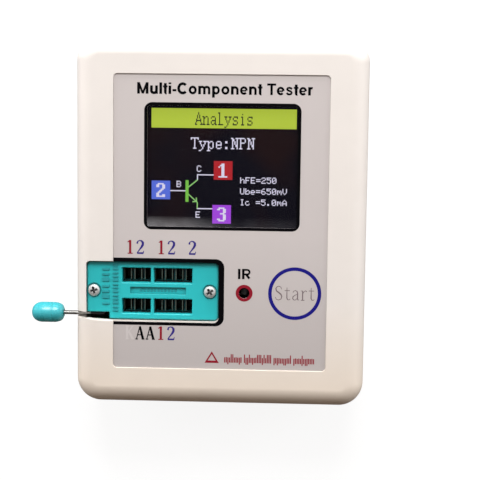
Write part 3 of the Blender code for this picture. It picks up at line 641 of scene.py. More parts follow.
def socket_outline(growth):
    """The cut-out for the socket, with the slot in which the lever lies at its lower left."""
    right = SEAT_RIGHT + growth
    left = SEAT_LEFT - growth
    top = SEAT_TOP + growth
    bottom = SEAT_BOTTOM - growth
    slot_left = SLOT_LEFT - growth
    slot_top = NOTCH_TOP - 0.12 * MM
    return rounded_outline([(right, bottom, SEAT_CORNER), (right, top, SEAT_CORNER),
                            (left, top, SOCKET_CORNER), (left, slot_top, 0.3 * MM),
                            (slot_left, slot_top, 0.2 * MM), (slot_left, SLOT_BOTTOM - growth, 0.7 * MM),
                            (NOTCH_RIGHT - GAP, bottom, 0)])


def groove_outline(growth):
    """The groove in the left wall in which the lever lies, which widens to both sides."""
    half = WIRE + GAP + growth
    inner_end = SLOT_LEFT + 1 * MM
    return [(-CASE_WIDTH, WIRE_Y - half), (inner_end, WIRE_Y - half),
            (inner_end, WIRE_Y + half), (-CASE_WIDTH, WIRE_Y + half)]


def mouth_cutter():
    """The mouth for the charging plug in the right wall, with a rounded-off rim."""
    outline = growing_rectangle(*MOUTH, 1.2 * MM, USB.yz)
    wall = SHELL_HIGH.x
    return loft([[(x, y, z) for y, z in outline(growth)] for growth, x in
                 ((0, 30 * MM), (0, wall - EDGE), (EDGE, wall), (EDGE, wall + MM))])


def make_front_shell(plastic):
    rim = SHELL_LOW.z
    plate = FACE - FRONT_PLATE
    step = rim + STEP
    rings = [case_ring(WALL, plate), case_ring(WALL, step), case_ring(LIP, step), case_ring(LIP, rim)]
    rings += broken_edge(rim, 1)
    rings += fillet_rings(FRONT_FILLET, FACE - FRONT_FILLET, 1)
    shell = loose_object("front_shell_moulding", loft(rings))
    film = FILM_HIGH - FILM_LOW
    film_seat = growing_rectangle(film.x + 2 * FILM_GAP, film.y + 2 * FILM_GAP, FILM_CORNER + FILM_GAP)
    through = plate - 1 * MM
    carve(shell, opening(film_seat, FILM_LOW.z - GAP, FACE, 0.16 * MM))
    carve(shell, together([
        prism(rounded_rectangle(*DISPLAY_OPENING, 1.5 * MM, PANEL.xy), through, FACE + MM),
        cylinder(1.6 * MM, through, FACE + MM, IR.x, IR.y),
        cylinder(KEY_RADIUS + 0.4 * MM, through, FACE + MM, KEY.x, KEY.y)]))
    carve(shell, opening(socket_outline, through, FACE))
    carve(shell, opening(groove_outline, WIRE_Z - WIRE - GAP, FACE, 0.4 * MM))
    carve(shell, mouth_cutter())
    dress_moulding(shell, plastic, "front_shell")


def make_rear_cover(plastic):
    rim = SHELL_LOW.z - GAP
    rings = [case_ring(WALL, FLOOR), case_ring(WALL, COVER_TOP), case_ring(TONGUE, COVER_TOP),
             case_ring(TONGUE, rim)]
    rings += broken_edge(rim, -1)
    rings += fillet_rings(REAR_FILLET, REAR_FILLET, -1)
    cover = loose_object("rear_cover_moulding", loft(rings))
    seats = []
    for number in range(1, 5):
        place = middle_of(f"case_screw_{number}")
        seat = rotated(opening(growing_circle(2.7 * MM, 48), -3 * MM, 0, 0.3 * MM), math.pi, "X")
        seats.append(moved(seat, place.x, place.y))
    carve(cover, together(seats))
    dress_moulding(cover, plastic, "rear_cover")


# ---------- screws

def pan_head(radius, height, shank_radius, shank_length, arm):
    """A pan-head screw standing on height 0, with a tapered cross recess."""
    dome = [(radius * math.cos(turn) ** 0.6, height * (0.35 + 0.65 * math.sin(turn)))
            for turn in quarter_turn(8)[:-1]]
    profile = [(0, -shank_length), (shank_radius, -shank_length), (shank_radius, 0), (radius * 0.97, 0)]
    head = loose_object("screw", turned(profile + dome + [(0, height)]))
    for turn in (0, QUARTER):
        rings = []
        for share, z in ((0.5, -0.35 * height), (1, height), (1.1, height * 1.4)):
            long_side = arm * share
            thin = 0.2 * radius * share
            rings.append([(x * long_side, y * thin, z) for x, y in ((-1, -1), (1, -1), (1, 1), (-1, 1))])
        carve(head, rotated(loft(rings), turn, "Z"))
    return head


def place_screw(item, name, node, height, turn, look):
    """Stand a screw's head at the height, in its node's place."""
    place = middle_of(node)
    item.name = name
    item.data.transform(Matrix.Translation((place.x, place.y, height)) @ turn)
    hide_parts(node)
    dress(item, look)


def make_screws(nickel):
    """The two bright screws of the socket, and the four in the back, which face the other way."""
    for side, angle in (("left", 0.25), ("right", 0.6)):
        low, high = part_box(f"zif_screw_{side}")
        radius = (high.x - low.x) / 2
        item = pan_head(radius, high.z - SOCKET_FACE, 0.7 * MM, 6.5 * MM, radius * 0.68)
        place_screw(item, f"socket_screw_{side}", f"zif_screw_{side}", SOCKET_FACE,
                    Matrix.Rotation(angle, 4, "Z"), nickel)
    for number in range(1, 5):
        low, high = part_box(f"case_screw_{number}")
        item = pan_head((high.x - low.x) / 2, 1.8 * MM, 1 * MM, 18 * MM, 1.45 * MM)
        place_screw(item, f"back_screw_{number}", f"case_screw_{number}", 2.7 * MM,
                    Matrix.Rotation(math.pi, 4, "X") @ Matrix.Rotation(0.5 * number, 4, "Z"), nickel)


# ---------- film and print

def socket_notch(left):
    """Corners of the film's cut-out for the socket, downwards from its upper left."""
    return [(left, SEAT_TOP, 0), (SEAT_RIGHT, SEAT_TOP, SEAT_CORNER),
            (SEAT_RIGHT, PRINT_BOTTOM, SEAT_CORNER), (left, PRINT_BOTTOM, 0)]


def make_film(grey, clear):
    """One sheet over the whole front. Its part over the start button is a fine disc of rings."""
    steps = 96
    reach = 1.35 * KEY_RADIUS
    rings = 22
    left, bottom, _ = FILM_LOW
    right, top, _ = FILM_HIGH
    edge = rounded_outline([(right, bottom, FILM_CORNER), (right, top, FILM_CORNER), (left, top, FILM_CORNER),
                            *socket_notch(left), (left, bottom, FILM_CORNER)])
    sheet = flat_fill(edge, [rounded_rectangle(*WINDOW, WINDOW_CORNER, PANEL.xy),
                             circle(RECEIVER_HOLE, 48, IR.xy), circle(reach, steps, KEY.xy)])
    for i in range(rings):
        around = [circle(reach * (1 - part / rings), steps, KEY.xy) for part in (i, i + 1)]
        sheet = together([sheet, band(*around)])
    bmesh.ops.remove_doubles(sheet, verts=sheet.verts, dist=1e-6)
    bmesh.ops.dissolve_degenerate(sheet, edges=sheet.edges, dist=1e-7)
    film = piece("front_film_sheet", thickened(sheet, FILM_LOW.z, FILM_TOP), grey, body=None)
    dips_with_key(film)
    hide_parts("front_overlay", "start_key")

    pane = rounded_rectangle(*(side - 0.02 * MM for side in WINDOW), WINDOW_CORNER, PANEL.xy)
    piece("film_window", prism(pane, FILM_LOW.z, FILM_TOP), clear)


def on_film(name, mesh, ink, dips=False):
    """A printed shape: a thin closed body on the film, riding on the case, or over the button, where it is
    left unattached.
    """
    body = None if dips else "case"
    item = piece(f"print_{name}", thickened(mesh, FILM_TOP, FILM_TOP + INK), ink, body)
    if dips:
        dips_with_key(item)


def ring(outer, inner, steps, middle):
    return band(circle(outer, steps, middle), circle(inner, steps, middle))


def make_masks(black, red, blue):
    """The black borders round the display and the socket, and the rings round the receiver and the button."""
    on_film("display_border", band(rounded_rectangle(*DISPLAY_MASK, MASK_CORNER, PANEL.xy),
                                   rounded_rectangle(*WINDOW, WINDOW_CORNER, PANEL.xy)), black)
    left = FILM_LOW.x
    right = SOCKET_HIGH.x + 1.4 * MM
    top = SOCKET_HIGH.y + 1.05 * MM
    bottom = PRINT_BOTTOM - 0.78 * MM
    bend = SEAT_CORNER + 0.8 * MM
    outer = rounded_outline([(left, top, 0), (right, top, bend), (right, bottom, bend), (left, bottom, 0)])
    inner = rounded_outline(socket_notch(left))
    on_film("socket_border", band(outer, inner, closed=False), black)
    on_film("receiver_ring", ring(2.06 * MM, RECEIVER_HOLE, 64, IR.xy), red)
    on_film("start_ring", ring(6.45 * MM, 5.6 * MM, 128, KEY.xy), blue, dips=True)


# Letters as strokes of a pen, in hundredths of a capital's height: the letter's own width, then each stroke
# after a bar. In a stroke a number alone is how wide the pen is from there on, x,y is a point, and
# x,y,wide,tall,start,end goes along an ellipse's arc from one angle to another.
BOOK_LETTERS = {
    "1": "50 | 11 27,0 27,100 | 4 8,84 7 27,97 | 5 8,2 46,2",
    "2": "60 | 10 7,74 6 11,90 5 24,98 8 39,95 12 49,83 49,68 10 40,50 6 24,29 5 7,6 | 8 6,4 9 52,4"
         " | 5 51,2 3 56,22",
    "3": "60 | 8 8,80 5 15,93 29,98 9 43,90 11 46,74 8 38,59 4 22,53"
         " | 4 22,53 8 40,46 12 50,29 10 44,10 5 27,1 13,5 8 7,19",
    "A": "68 | 5 8,2 33,98 | 11 33,98 12 57,2 | 5 17,34 49,34 | 5 0,2 19,2 | 5 46,2 68,2",
    "K": "66 | 11 14,0 14,100 | 5 55,97 17,44 | 10 27,58 12 56,2 | 5 3,2 26,2 | 5 3,98 26,98 | 5 46,2 66,2",
    "S": "60 | 4 49,76 5 44,91 31,98 6 17,94 8 9,80 9 14,64 10 30,53 44,41 8 51,25 6 45,8 5 28,1 13,6 4 6,22",
    "t": "46 | 4 20,90 8 20,16 7 26,4 5 36,3 4 43,10 | 5 4,68 40,68",
    "a": "54 | 7 10,56 5 16,66 28,70 7 39,63 8 42,50 42,10 6 46,3 4 53,5"
         " | 4 42,43 5 24,37 7 10,25 8 9,11 5 18,2 30,5 4 42,17",
    "r": "50 | 8 17,0 17,68 | 5 5,2 31,2 | 4 5,67 5 17,68 | 5 17,46 27,63 6 38,69 8 46,62",
}
BOLD_LETTERS = {
    "M": "116 | 24 20,0 20,100 | 24 96,0 96,100 | 18.5 22,96 58,3 | 18.5 58,3 94,96",
    "u": "85 | 24 20,73 20,27 42,27,22,18.5,180,330 | 24 65,0 65,73",
    "l": "39 | 24 19.5,0 19.5,100",
    "t": "46 | 24 23,94 23,20 33,19,10,11,180,280 | 16 2,65 43,65",
    "i": "39 | 24 19.5,0 19.5,73 | 24 19.5,85 19.5,100",
    "-": "46 | 19 6,33 40,33",
    "C": "100 | 24 52,50,36,41,42,318",
    "o": "85 | 21 42.5,36.5,25,27.25,0,360",
    "m": "124 | 24 20,0 20,73 | 21 41,46,21,18,180,0 62,0 | 21 83,46,21,18,180,0 104,0",
    "p": "85 | 24 20,-28 20,73 | 20 43,36.5,23,27.25,0,360",
    "n": "85 | 24 20,0 20,73 | 21 42.5,43,22.5,20.5,180,0 65,0",
    "e": "78 | 20 39,36.5,24,27.25,0,318 | 13 17,35 60,35",
    "T": "85 | 18.5 3,91.5 82,91.5 | 21 42.5,0 42.5,90",
    "s": "78 | 17.5 61,53 53,62 39,65 25,62 19,53 24,44 39,38.5 54,32 60,22 54,11 39,7 24,11 16,21",
    "r": "54 | 24 20,0 20,73 | 20 42,43,22,21,180,75",
    "I": "39 | 24 19.5,0 19.5,100",
    "R": "100 | 24 20,0 20,100 | 18.5 20,91.5 56,91.5 56,69,25,22.5,90,-90 20,46.5 | 23 50,46 80,6",
    " ": "39",
}


def arc(x, y, wide, tall, start, end):
    """Points along an ellipse's arc, from one angle in degrees to another."""
    steps = 24 if abs(end - start) > 180 else 12
    turns = [math.radians(start + (end - start) * i / steps) for i in range(steps + 1)]
    return [(x + wide * math.cos(turn), y + tall * math.sin(turn)) for turn in turns]


def read_letter(drawing):
    """A letter's width, and its strokes as points and the pen's width at each."""
    width, *strokes = drawing.split("|")
    lines = []
    for marks in strokes:
        points = []
        widths = []
        for mark in marks.split():
            numbers = [float(number) for number in mark.split(",")]
            if len(numbers) == 1:
                pen = numbers[0] / 100
                continue
            points += [numbers] if len(numbers) == 2 else arc(*numbers)
            widths += [pen] * (len(points) - len(widths))
        lines.append(([(x / 100, y / 100) for x, y in points], widths))
    return float(width) / 100, lines


def stroke(points, widths):
    """A flat ribbon along points, of a given width at each."""
    points = [Vector(point) for point in points]
    closed = (points[0] - points[-1]).length < 1e-6
    sides = ([], [])
    for i, (point, width) in enumerate(zip(points, widths)):
        back = points[-2] if closed and i == 0 else points[max(i - 1, 0)]
        ahead = points[1] if closed and i == len(points) - 1 else points[min(i + 1, len(points) - 1)]
        along = (ahead - back).normalized()
        across = Vector((-along.y, along.x)) * width / 2
        sides[0].append(point + across)
        sides[1].append(point - across)
    return band(*sides, closed=False)


def lettering(text, letters, height, spacing=0.0, weight=1.0):
    """Words as flat strokes from x 0 on, and how wide they are. Each stroke lies a hair above the one before
    it, so that strokes that cross don't share a plane."""
    strokes = []
    pen = 0.0
    for letter in text:
        width, lines = read_letter(letters[letter])
        for lift, (points, widths) in enumerate(lines):
            strokes.append(moved(stroke(points, [part * weight for part in widths]), pen, z=lift * 0.0004))
        pen += width + spacing
    mesh = together(strokes)
    mesh.transform(Matrix.Scale(height, 4))
    return mesh, (pen - spacing) * height


def word_on_film(name, lettered, middle, foot, ink, dips=False):
    """Lettering on the film, about a middle line and from a foot line up."""
    mesh, width = lettered
    on_film(name, moved(mesh, middle - width / 2, foot), ink, dips)


def make_words(black, brown):
    """The name of the kind of instrument and of the receiver, in bold, and the word on the button."""
    word_on_film("title", lettering("Multi-Component Tester", BOLD_LETTERS, 2.73 * MM, spacing=-0.022),
                 PANEL.x + 0.4 * MM, FILM_HIGH.y - 4.7 * MM, black)
    word_on_film("receiver_name", lettering("IR", BOLD_LETTERS, 2.5 * MM), IR.x, IR.y + 3.45 * MM, black)
    word_on_film("start_word", lettering("Start", BOOK_LETTERS, 3.5 * MM, spacing=0.06),
                 KEY.x, KEY.y - 1.65 * MM, brown, dips=True)


def make_numbers(red, blue, black, pale, faint):
    """The number of the test point above or below each contact of the socket."""
    inks = {"1": red, "2": blue, "3": faint, "K": pale, "A": black}
    rows = (("upper", "1231232", SOCKET_HIGH.y + 2.1 * MM), ("lower", "KAA123", SOCKET_LOW.y - 4.75 * MM))
    for row, marks, foot in rows:
        for column, mark in enumerate(marks):
            middle = CELL_LEFT + (column + 0.5) * PITCH + 0.75 * MM
            word_on_film(f"{row}_{column + 1}", lettering(mark, BOOK_LETTERS, 3.3 * MM, weight=1.5),
                         middle, foot, inks[mark])


def make_notice(red):
    """A small open triangle and rows of plain ticks, where the front carries a line of small print."""
    size = 3.5 * MM
    centre = Vector((-1.75 * MM, FILM_LOW.y + 2.75 * MM))

    def triangle(scale):
        return [(centre.x + size * scale * x, centre.y + size * scale * y) for x, y in
                ((-0.5, -0.37), (0.5, -0.37), (0, 0.45))]
    on_film("notice_triangle", band(triangle(1), triangle(0.56)), red)
    height = 2.1 * MM
    foot = centre.y - 1.15 * MM
    pen = 1.3 * MM
    ticks = []
    for length in (11, 17, 11, 13):
        for _ in range(length):
            top = foot + height * random.choice((0.62, 0.62, 0.62, 0.66, 1))
            low = foot - height * random.choice((0, 0, 0, 0, 0.2))
            ticks.append(patch(pen, low, 0.27 * MM, top - low))
            pen += 0.4 * MM
        pen += 0.45 * MM
    on_film("notice_ticks", together(ticks), red)


# ---------- display picture

# Each letter's rows of dots from the top down. The blanks at the end of a row are left out.
TINY = {
    "0": ".### #...# #..## #.#.# ##..# #...# .###", "2": ".### #...# ....# ..## .# # #####",
    "5": "##### # #### ....# ....# #...# .###", "6": "..## .# # #### #...# #...# .###",
    "h": "# # #.## ##..# #...# #...# #...#", "F": "##### # # #### # # #", "E": "##### # # #### # # #####",
    "=": ". . ##### . ##### . .", "U": "#...# #...# #...# #...# #...# #...# .###",
    "b": "# # #.## ##..# #...# #...# ####", "e": ". . .### #...# ##### # .###",
    "m": ". . ##.# #.#.# #.#.# #...# #...#", "V": "#...# #...# #...# #...# #...# .#.# ..#",
    "I": ".### ..# ..# ..# ..# ..# .###", "c": ". . .### # # #...# .###", ".": ". . . . . .## .##",
    "A": "..# .#.# #...# #...# ##### #...# #...#", "B": "#### #...# #...# #### #...# #...# ####",
    "C": ".### #...# # # # #...# .###", " ": ". . . . . . .",
}
TALL = {
    "A": "...# ...# ..#.# ..#.# ..#.# .#...# .##### .#...# #.....# ##...##",
    "n": ". . . ##.## .##..# .#...# .#...# .#...# .#...# ###.###",
    "a": ". . . ..### .#...# .....# ..#### .#...# .#..## ..##.##",
    "l": ".## ..# ..# ..# ..# ..# ..# ..# ..# .#####",
    "y": ". . . ###.### .#...# .#...# ..#.# ..#.# ...# ...# ..# ##",
    "s": ". . . ..#### .#...# .# ..### .....# .#...# .####",
    "i": ". ...# . ..## ...# ...# ...# ...# ...# ..###",
    "T": "####### #..#..# ...# ...# ...# ...# ...# ...# ...# ..###",
    "p": ". . . ##.## .##..# .#...# .#...# .#...# .##..# .#.## .# ###",
    "e": ". . . ..### .#...# .#...# .##### .# .#...# ..###", ":": ". . . ..## ..## . . . ..## ..##",
    "N": "##..### .##..# .##..# .#.#.# .#.#.# .#.#.# .#..## .#..## .#...# ###..#",
    "P": "##### .#...# .#...# .#...# .#### .# .# .# .# ###",
    "1": "..## .### #.## ..## ..## ..## ..## ..## ..## ######",
    "2": ".#### ##..## ##..## ....## ...## ..## .## ## ##..## ######",
    "3": ".#### ##..## ....## ....## ..### ....## ....## ....## ##..## .####",
}
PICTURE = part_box("lcd_panel")[1].z        # the picture lies on the panel's face


# The picture's own lengths are in millimetres, to the right and down from its upper left corner.

def on_panel(x, y):
    return (PANEL.x - 17.6 * MM + x * MM, PANEL.y + 14.1 * MM - y * MM)


def block(left, top, wide, tall):
    return patch(*on_panel(left, top + tall), wide * MM, tall * MM)


def dot_text(text, font, left, top, dot, pitch, tall=None):
    """Words of dots, dot wide and tall high, with pitch dots from letter to letter."""
    tall = tall or dot
    runs = []
    for place, letter in enumerate(text):
        for row, line in enumerate(font[letter].split()):
            for run in re.finditer("#+", line):
                start = place * pitch + run.start()
                runs.append(block(left + start * dot, top + row * tall, len(run.group()) * dot, tall))
    return together(runs)


def on_picture(name, mesh, look, level=1):
    """A lit shape of the picture. A higher level lies in front of a lower one."""
    low = PICTURE + (level - 1) * 2 * INK + 0.2 * INK
    piece(f"picture_{name}", thickened(mesh, low, low + INK), look)


def thin_lines(ends):
    """Lines of the transistor's symbol, each from one (x, y) to another."""
    return together([stroke([on_panel(*end[:2]), on_panel(*end[2:])], [0.26 * MM] * 2) for end in ends])


def make_symbol(white, pale_green, green):
    """The transistor's symbol, with the letters of its three leads."""
    on_picture("symbol_leads", thin_lines([
        (4.85, 20.1, 8.6, 20.1), (11.5, 17.4, 11.5, 16.1), (11.37, 16.15, 15.45, 16.15),
        (11.37, 24.4, 15.2, 24.4)]), white)
    on_picture("symbol_slopes", thin_lines([
        (9.3, 19.2, 11.55, 17.35), (9.3, 20.9, 11.5, 22.9), (11.5, 22.8, 11.5, 24.4),
        (10.3, 22.75, 11.3, 22.65), (11.25, 21.7, 11.3, 22.7)]), pale_green)
    on_picture("symbol_bar", block(8.6, 17.5, 0.75, 5.3), green, 2)
    for name, letter, left, top in (("collector", "C", 11.3, 13.9), ("base", "B", 6.4, 17.7),
                                    ("emitter", "E", 11.1, 25.1)):
        on_picture(f"{name}_letter", dot_text(letter, TINY, left, top, 0.22, 6), white)


def make_picture():
    """What the screen shows: a transistor's type, its symbol with its three numbered leads, and readings."""
    white, lime, dark, pale_green, green, red, blue, violet = (
        glowing(f"lit_{name}", colour, strength) for name, colour, strength in (
            ("white", (226, 222, 240), 0.95), ("lime", (182, 203, 58), 1), ("dark", (30, 34, 14), 0.4),
            ("pale_green", (150, 214, 120), 0.9), ("green", (120, 196, 70), 0.95), ("red", (176, 22, 30), 1),
            ("blue", (84, 108, 214), 1), ("violet", (160, 66, 214), 1)))
    on_picture("header", block(0.2, 0.1, 35.2, 4.75), lime)
    on_picture("header_word", dot_text("Analysis", TALL, 10.8, 1.0, 0.25, 7.1, 0.31), dark, 2)
    on_picture("type_word", dot_text("Type:NPN", TALL, 9.8, 7.1, 0.275, 7.1), white)
    for name, mark, look, left, top in (("first", "1", red, 15.45, 12.75), ("second", "2", blue, 0.3, 17.7),
                                        ("third", "3", violet, 15.2, 23.45)):
        on_picture(f"{name}_square", block(left, top, 4.55, 4.55), look)
        on_picture(f"{name}_mark", dot_text(mark, TALL, left + 1.15, top + 0.6, 0.36, 8, 0.34), white, 2)
    make_symbol(white, pale_green, green)
    for number, text in enumerate(("hFE=250", "Ube=650mV", "Ic =5.0mA")):
        on_picture(f"reading_{number + 1}", dot_text(text, TINY, 21.9, 16.6 + 2.68 * number, 0.215, 6), white)


# ---------- test socket

def window_outlines():
    """The four openings in the cover, as outlines that take their growth."""
    for side in (1, -1):
        left = CELL_LEFT
        for count in (3, 4):
            right = left + count * PITCH
            low_x = left if left == CELL_LEFT else left + WINDOW_RIB / 4
            high_x = right - WINDOW_RIB * 0.75
            yield growing_rectangle(high_x - low_x, WINDOW_HEIGHT, 0.12 * MM,
                                    ((low_x + high_x) / 2, SOCKET.y + side * ROW_OFFSET), steps=3)
            left = right


def notch_outline(growth):
    """The corner left out of the cover, in which the lever turns."""
    left = SOCKET_LOW.x - MM
    right = NOTCH_RIGHT + growth
    bottom = SOCKET_LOW.y - MM
    top = NOTCH_TOP + growth
    return rounded_outline([(left, bottom, 0), (right, bottom, 0), (right, top, 0.3 * MM), (left, top, 0)])


def hollow_outline():
    """The cover's inside, a skirt's thickness within its outline."""
    left = SOCKET_LOW.x + COVER_SKIRT
    bottom = SOCKET_LOW.y + COVER_SKIRT
    right = SOCKET_HIGH.x - COVER_SKIRT
    top = SOCKET_HIGH.y - COVER_SKIRT
    notch_x = NOTCH_RIGHT + COVER_SKIRT
    notch_y = NOTCH_TOP + COVER_SKIRT
    return [(notch_x, bottom), (right, bottom), (right, top), (left, top), (left, notch_y),
            (notch_x, notch_y)]


def make_socket_cover(teal):
    size = SOCKET_HIGH - SOCKET_LOW
    under = SOCKET_LOW.z - MM
    outline = growing_rectangle(size.x, size.y, SOCKET_CORNER, SOCKET.xy, steps=8)
    cover = loose_object("socket_cover_moulding", loft(
        [at(outline(0), SOCKET_LOW.z)] + rounded_top(outline, SOCKET_FACE, SOCKET_EDGE, -1, 5)))
    carve(cover, prism(hollow_outline(), under, SOCKET_FACE - COVER_PLATE))
    carve(cover, opening(notch_outline, under, SOCKET_FACE, 0.3 * MM))
    # The lever's bent end passes through the skirt here
    near = NOTCH_TOP - 0.6 * MM
    far = NOTCH_TOP + 1.4 * MM
    left = LEVER_HIGH.x - 2.7 * MM
    right = LEVER_HIGH.x - 1.1 * MM
    carve(cover, prism([(left, near), (right, near), (right, far), (left, far)], under, WIRE_Z + 0.8 * MM))
    for window in window_outlines():
        carve(cover, opening(window, under, SOCKET_FACE, 0.32 * MM))
    recess = growing_rectangle(13.7 * MM, 1.7 * MM, 0.1 * MM, (-15.15 * MM, RECESS_Y), steps=3)
    carve(cover, opening(recess, SOCKET_FACE - RECESS, SOCKET_FACE, 0.1 * MM))
    for x in SCREW_PLACES:
        seat = growing_circle(1.75 * MM, 40, (x, SOCKET.y))
        carve(cover, opening(seat, SOCKET_FACE - GAP, SOCKET_FACE, 0.12 * MM))
        carve(cover, cylinder(1 * MM, SOCKET_LOW.z, SOCKET_FACE + MM, x, SOCKET.y, 24))
    dress_moulding(cover, teal, "zif_cover")


def raised_bar(left, right, middle_y, tall, foot, rise):
    """A low bar with sloping sides."""
    middle = ((left + right) / 2, middle_y)

    def outline(inset):
        return rounded_rectangle(right - left - 2 * inset, tall - 2 * inset, 0.08 * MM, middle, steps=3)
    return loft([at(outline(0), foot), at(outline(0.06 * MM), foot + rise)])


def make_socket_marks(teal):
    """Rows of plain raised bars on the cover, in the places where such covers carry moulded marks. Their
    darker teal is painted shade.
    """
    foot = SOCKET_FACE - 0.02 * MM
    bars = []
    for left, right, y, gap, heights in ((-28.9, -27.1, -11.7, 0.78, (0.5, 0.5, 0.9) * 2 + (0.5,)),
                                         (-26.3, -24.9, -10.7, 0.5, (0.35, 0.6, 0.35) * 4 + (0.35,))):
        for tall in heights:
            bars.append(raised_bar(left * MM, right * MM, y * MM, tall * MM, foot, 0.26 * MM))
            y -= tall + gap
    piece("socket_raised_bars", together(bars), teal)
    ribs = [raised_bar((-19.6 + 0.85 * i) * MM, (-19.1 + 0.85 * i) * MM, RECESS_Y, 0.7 * MM, foot - RECESS,
                       0.12 * MM) for i in range(11)]
    piece("socket_recess_ribs", together(ribs), teal)


# ---------- button

def make_snap_dome(spring):
    """The sprung disc under the button."""
    low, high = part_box("switch_dome")
    middle = middle_of("switch_dome")
    radius = (high.x - low.x) / 2
    sheet = 0.12 * MM
    rise = high.z - low.z - sheet
    under = [(radius * step / 8, low.z + rise * (1 - (step / 8) ** 2)) for step in range(9)]
    over = [(distance, height + sheet) for distance, height in reversed(under)]
    dome = stand_in("switch_dome", "snap_dome", moved(turned(under + over, 32), middle.x, middle.y), spring)
    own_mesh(dome)


# ---------- lever

def make_wire(steel, black):
    """The bent wire with its cam, and a black sleeve round it in the slot, a dark body standing in for the
    slot's shadow.
    """
    pivot_x = LEVER_HIGH.x - 1.9 * MM
    bend = 1 * MM
    bent = [(pivot_x - bend + bend * math.cos(turn), WIRE_Y + bend - bend * math.sin(turn), WIRE_Z)
            for turn in quarter_turn(10)]
    path = [(pivot_x, LEVER_HIGH.y, WIRE_Z)] + bent + [(LEVER_LOW.x, WIRE_Y, WIRE_Z)]
    stand_in("zif_lever", "lever_wire", round_bar(path, WIRE), steel, "lever")
    # Painted shadow: a black sleeve over the wire where it lies in the slot's shadow
    shadow_sleeve_path = bent[3:] + [(SOCKET_LOW.x + 0.6 * MM, WIRE_Y, WIRE_Z)]
    piece("lever_sleeve_painted_shadow", round_bar(shadow_sleeve_path, WIRE + 0.2 * MM), black, "lever")
    cam = rotated(cylinder(0.9 * MM, -1.5 * MM, 1.5 * MM, steps=32), QUARTER, "X")
    piece("lever_cam", moved(cam, pivot_x + 1 * MM, -16 * MM, WIRE_Z), steel, "lever")


def make_knob(teal):
    """The barrel knob, with the hole for the wire and the seam its mould left."""
    radius = (KNOB_HIGH.z - KNOB_LOW.z) / 2
    length = KNOB_HIGH.x - KNOB_LOW.x
    neck = 1.25 * MM
    shoulder = 2.4 * MM
    dome = 2.6 * MM
    bore = 0.85 * MM
    bore_depth = 4.8 * MM
    seam = 2.7 * MM
    profile = [(0, bore_depth), (bore, bore_depth), (bore, 0.1 * MM), (bore + 0.1 * MM, 0),
               (neck - 0.15 * MM, 0), (neck, 0.12 * MM)]
    profile += [(neck + (radius - neck) * math.sin(turn), 0.12 * MM + shoulder * (1 - math.cos(turn)))
                for turn in quarter_turn(10)[1:]]
    profile += [(radius, seam - 0.1 * MM), (radius - 0.06 * MM, seam), (radius, seam + 0.1 * MM)]
    profile += [(radius * math.cos(turn) ** 0.85, length - dome + dome * math.sin(turn))
                for turn in quarter_turn(14)[:-1]]
    knob = rotated(turned(profile + [(0, length)], 64), -QUARTER, "Y")
    stand_in("zif_knob", "lever_knob", moved(knob, KNOB_HIGH.x, WIRE_Y, WIRE_Z), teal,
             "lever")


# ---------- looks of the carried-over CAD nodes

def paint_frame(looks):
    """Give each CAD node that is still shown the material of its slot."""
    for slot in frame["record"]["materials"]:
        name = slot["slot"] if isinstance(slot, dict) else slot
        if name not in looks:
            raise ValueError(f"no look for slot {name}")
    for item in frame["nodes"].values():
        for i, old in enumerate(item.data.materials):
            item.data.materials[i] = looks[old.name.split(".")[0]]


# ---------- stage

def make_room():
    """Soft surroundings: pale on the display's side, dim and warm on the near side. Mirror-like faces see a
    brighter, even room."""
    world = bpy.data.worlds.new("studio")
    world.use_nodes = True
    room = Shading(world.node_tree, "Generated")
    far = room.along("Y")
    walls = room.mixed(room.mapped(far, -0.55, 0.6), (0.12, 0.075, 0.04, 1), (0.42, 0.42, 0.435, 1))
    mirrored = room.mixed(room.mapped(far, -0.6, 0.3), (0.06, 0.045, 0.035, 1), (0.7, 0.71, 0.73, 1))
    mirror_ray = room.node("LightPath").outputs["Is Glossy Ray"]
    sky = room.tree.nodes["Background"]
    room.feed(sky.inputs["Color"], room.mixed(mirror_ray, walls, mirrored))
    return world


def make_floor():
    """A pale sheet, which the camera sees as white."""
    mesh = bmesh.new()
    bmesh.ops.create_grid(mesh, x_segments=8, y_segments=8, size=1.2)
    look = Look("paper_sheet", 0.8)
    look.set("Base Color", look.mixed(look.noise(30, 3), srgb(118, 118, 118), srgb(126, 126, 126)))
    look.set("Emission Color", (1, 1, 1, 1))
    seen = look.node("LightPath").outputs["Is Camera Ray"]
    look.set("Emission Strength", look.mapped(seen, 0, 1, 0, 0.88))
    look.set("Normal", look.bump(look.noise(0.8, 3), 0.02))
    floor = loose_object("paper_sheet", mesh)
    floor.location.z = -0.05 * MM
    floor.data.materials.append(look.material)


def make_stage():
    """Soft light, most of it from the far side, and the camera above the tester."""
    make_floor()
    scene = bpy.context.scene
    scene.world = make_room()
    for name, place, size, energy, blue in (
            ("north_light", (0.02, 0.6, 0.56), 0.34, 4.55, 0.995),
            ("low_light", (-0.08, 0.6, 0.08), 0.2, 2.4, 1),
            ("west_light", (-0.45, 0.2, 0.13), 0.26, 1.35, 1),
            ("east_light", (0.45, 0.2, 0.13), 0.26, 1.35, 1)):
        lamp = bpy.data.lights.new(name, "AREA")
        lamp.size = size
        lamp.energy = energy
        lamp.color = (1, 1, blue)
        holder = bpy.data.objects.new(name, lamp)
        holder.visible_glossy = name == "north_light"
        scene.collection.objects.link(holder)
        holder.location = place
        holder.rotation_euler = (Vector((0, 0, FACE)) - Vector(place)).to_track_quat("-Z", "Y").to_euler()

    lens = bpy.data.cameras.new("camera")
    lens.lens = 89.7
    lens.sensor_width = 36
    lens.clip_start = 0.01
    camera = bpy.data.objects.new("camera", lens)
    scene.collection.objects.link(camera)
    camera.location = (17.3 * MM, 26.2 * MM, 315.2 * MM)
    camera.rotation_euler = (math.radians(-5.93), math.radians(2.55), math.radians(0.7))
    scene.camera = camera
    scene.view_settings.view_transform = "Standard"


# ---------- the whole tester

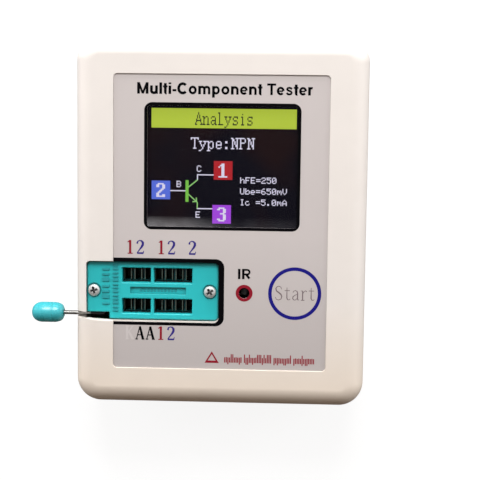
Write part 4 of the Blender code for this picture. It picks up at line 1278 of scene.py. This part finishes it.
def main():
    cream = moulded("cream_moulding", (241, 234, 228), 0.42, 0.16, 0.006, near_shade_colour=(240, 225, 208))
    grey = printed("grey_print", (209, 201, 199), near=0.84)
    black = printed("black_ink", (6, 5, 8), sheen=0.05)
    red = printed("red_ink", (146, 26, 44))
    blue = printed("blue_ink", (56, 46, 130))
    ring_blue = printed("ring_ink", (26, 22, 128))
    brown = printed("word_ink", (128, 114, 116))
    pale = printed("pale_ink", (217, 210, 208), near=0.88)
    faint = printed("faint_ink", (209, 201, 200), near=0.84)
    teal = moulded("teal_moulding", (44, 199, 203), 0.33, 0.2, 0.003, corner_shade=0.4)
    # Painted shade: the cover's teal, darkened for the shade round its raised marks
    shaded_teal = moulded("teal_marks", (42, 164, 170), 0.4, 0.2, 0.003, corner_shade=0.4)
    knob_teal = moulded("knob_moulding", (58, 182, 192), 0.28, 0.25, 0.002, corner_shade=0.5, gloss=0.9)
    nickel = metal("nickel_plate", (244, 244, 242), 0.3, tarnish=0.85, shine=0.6)
    wire = metal("steel_wire", (180, 177, 172), 0.3, (8, 1, 1), reach=0.1)
    spring = metal("spring_metal", (150, 162, 148), 0.35, (1, 1, 6), tarnish=0.55, reach=3)
    dark = moulded("black_moulding", (18, 17, 19), 0.35, 0.15, 0.004)

    make_front_shell(cream)
    make_rear_cover(cream)
    make_screws(nickel)
    make_film(grey, clear_film())
    make_masks(black, red, ring_blue)
    make_words(black, brown)
    make_numbers(red, blue, black, pale, faint)
    make_notice(red)
    make_picture()
    make_socket_cover(teal)
    make_socket_marks(shaded_teal)
    make_snap_dome(spring)
    make_wire(wire, dark)
    make_knob(knob_teal)

    paint_frame({
        "case_plastic": cream, "front_film": grey, "socket_plastic": teal,
        # Painted shade: a near-black teal for teal plastic lying in shadow under the windows
        "slider_plastic": moulded("slider_moulding_painted_shade", (8, 34, 36), 0.45, 0.2, 0.004),
        "steel": wire, "contact_metal": spring, "display_glass": panel_glass(),
        "white_plastic": moulded("white_moulding", (228, 226, 220), 0.4, 0.2, 0.004),
        "black_plastic": dark, "foam": foam_look(),
        "flex_circuit": printed("flex_film", (178, 118, 36)), "circuit_board": board_look(),
        "lamp_resin": moulded("lamp_moulding", (238, 232, 180), 0.3, 0.2, 0.002),
        "battery_pouch": metal("pouch_foil", (186, 188, 192), 0.35, (1, 4, 1)),
        "red_insulation": moulded("red_insulation_look", (176, 18, 20), 0.4, 0.2, 0.003)})
    make_stage()


main()
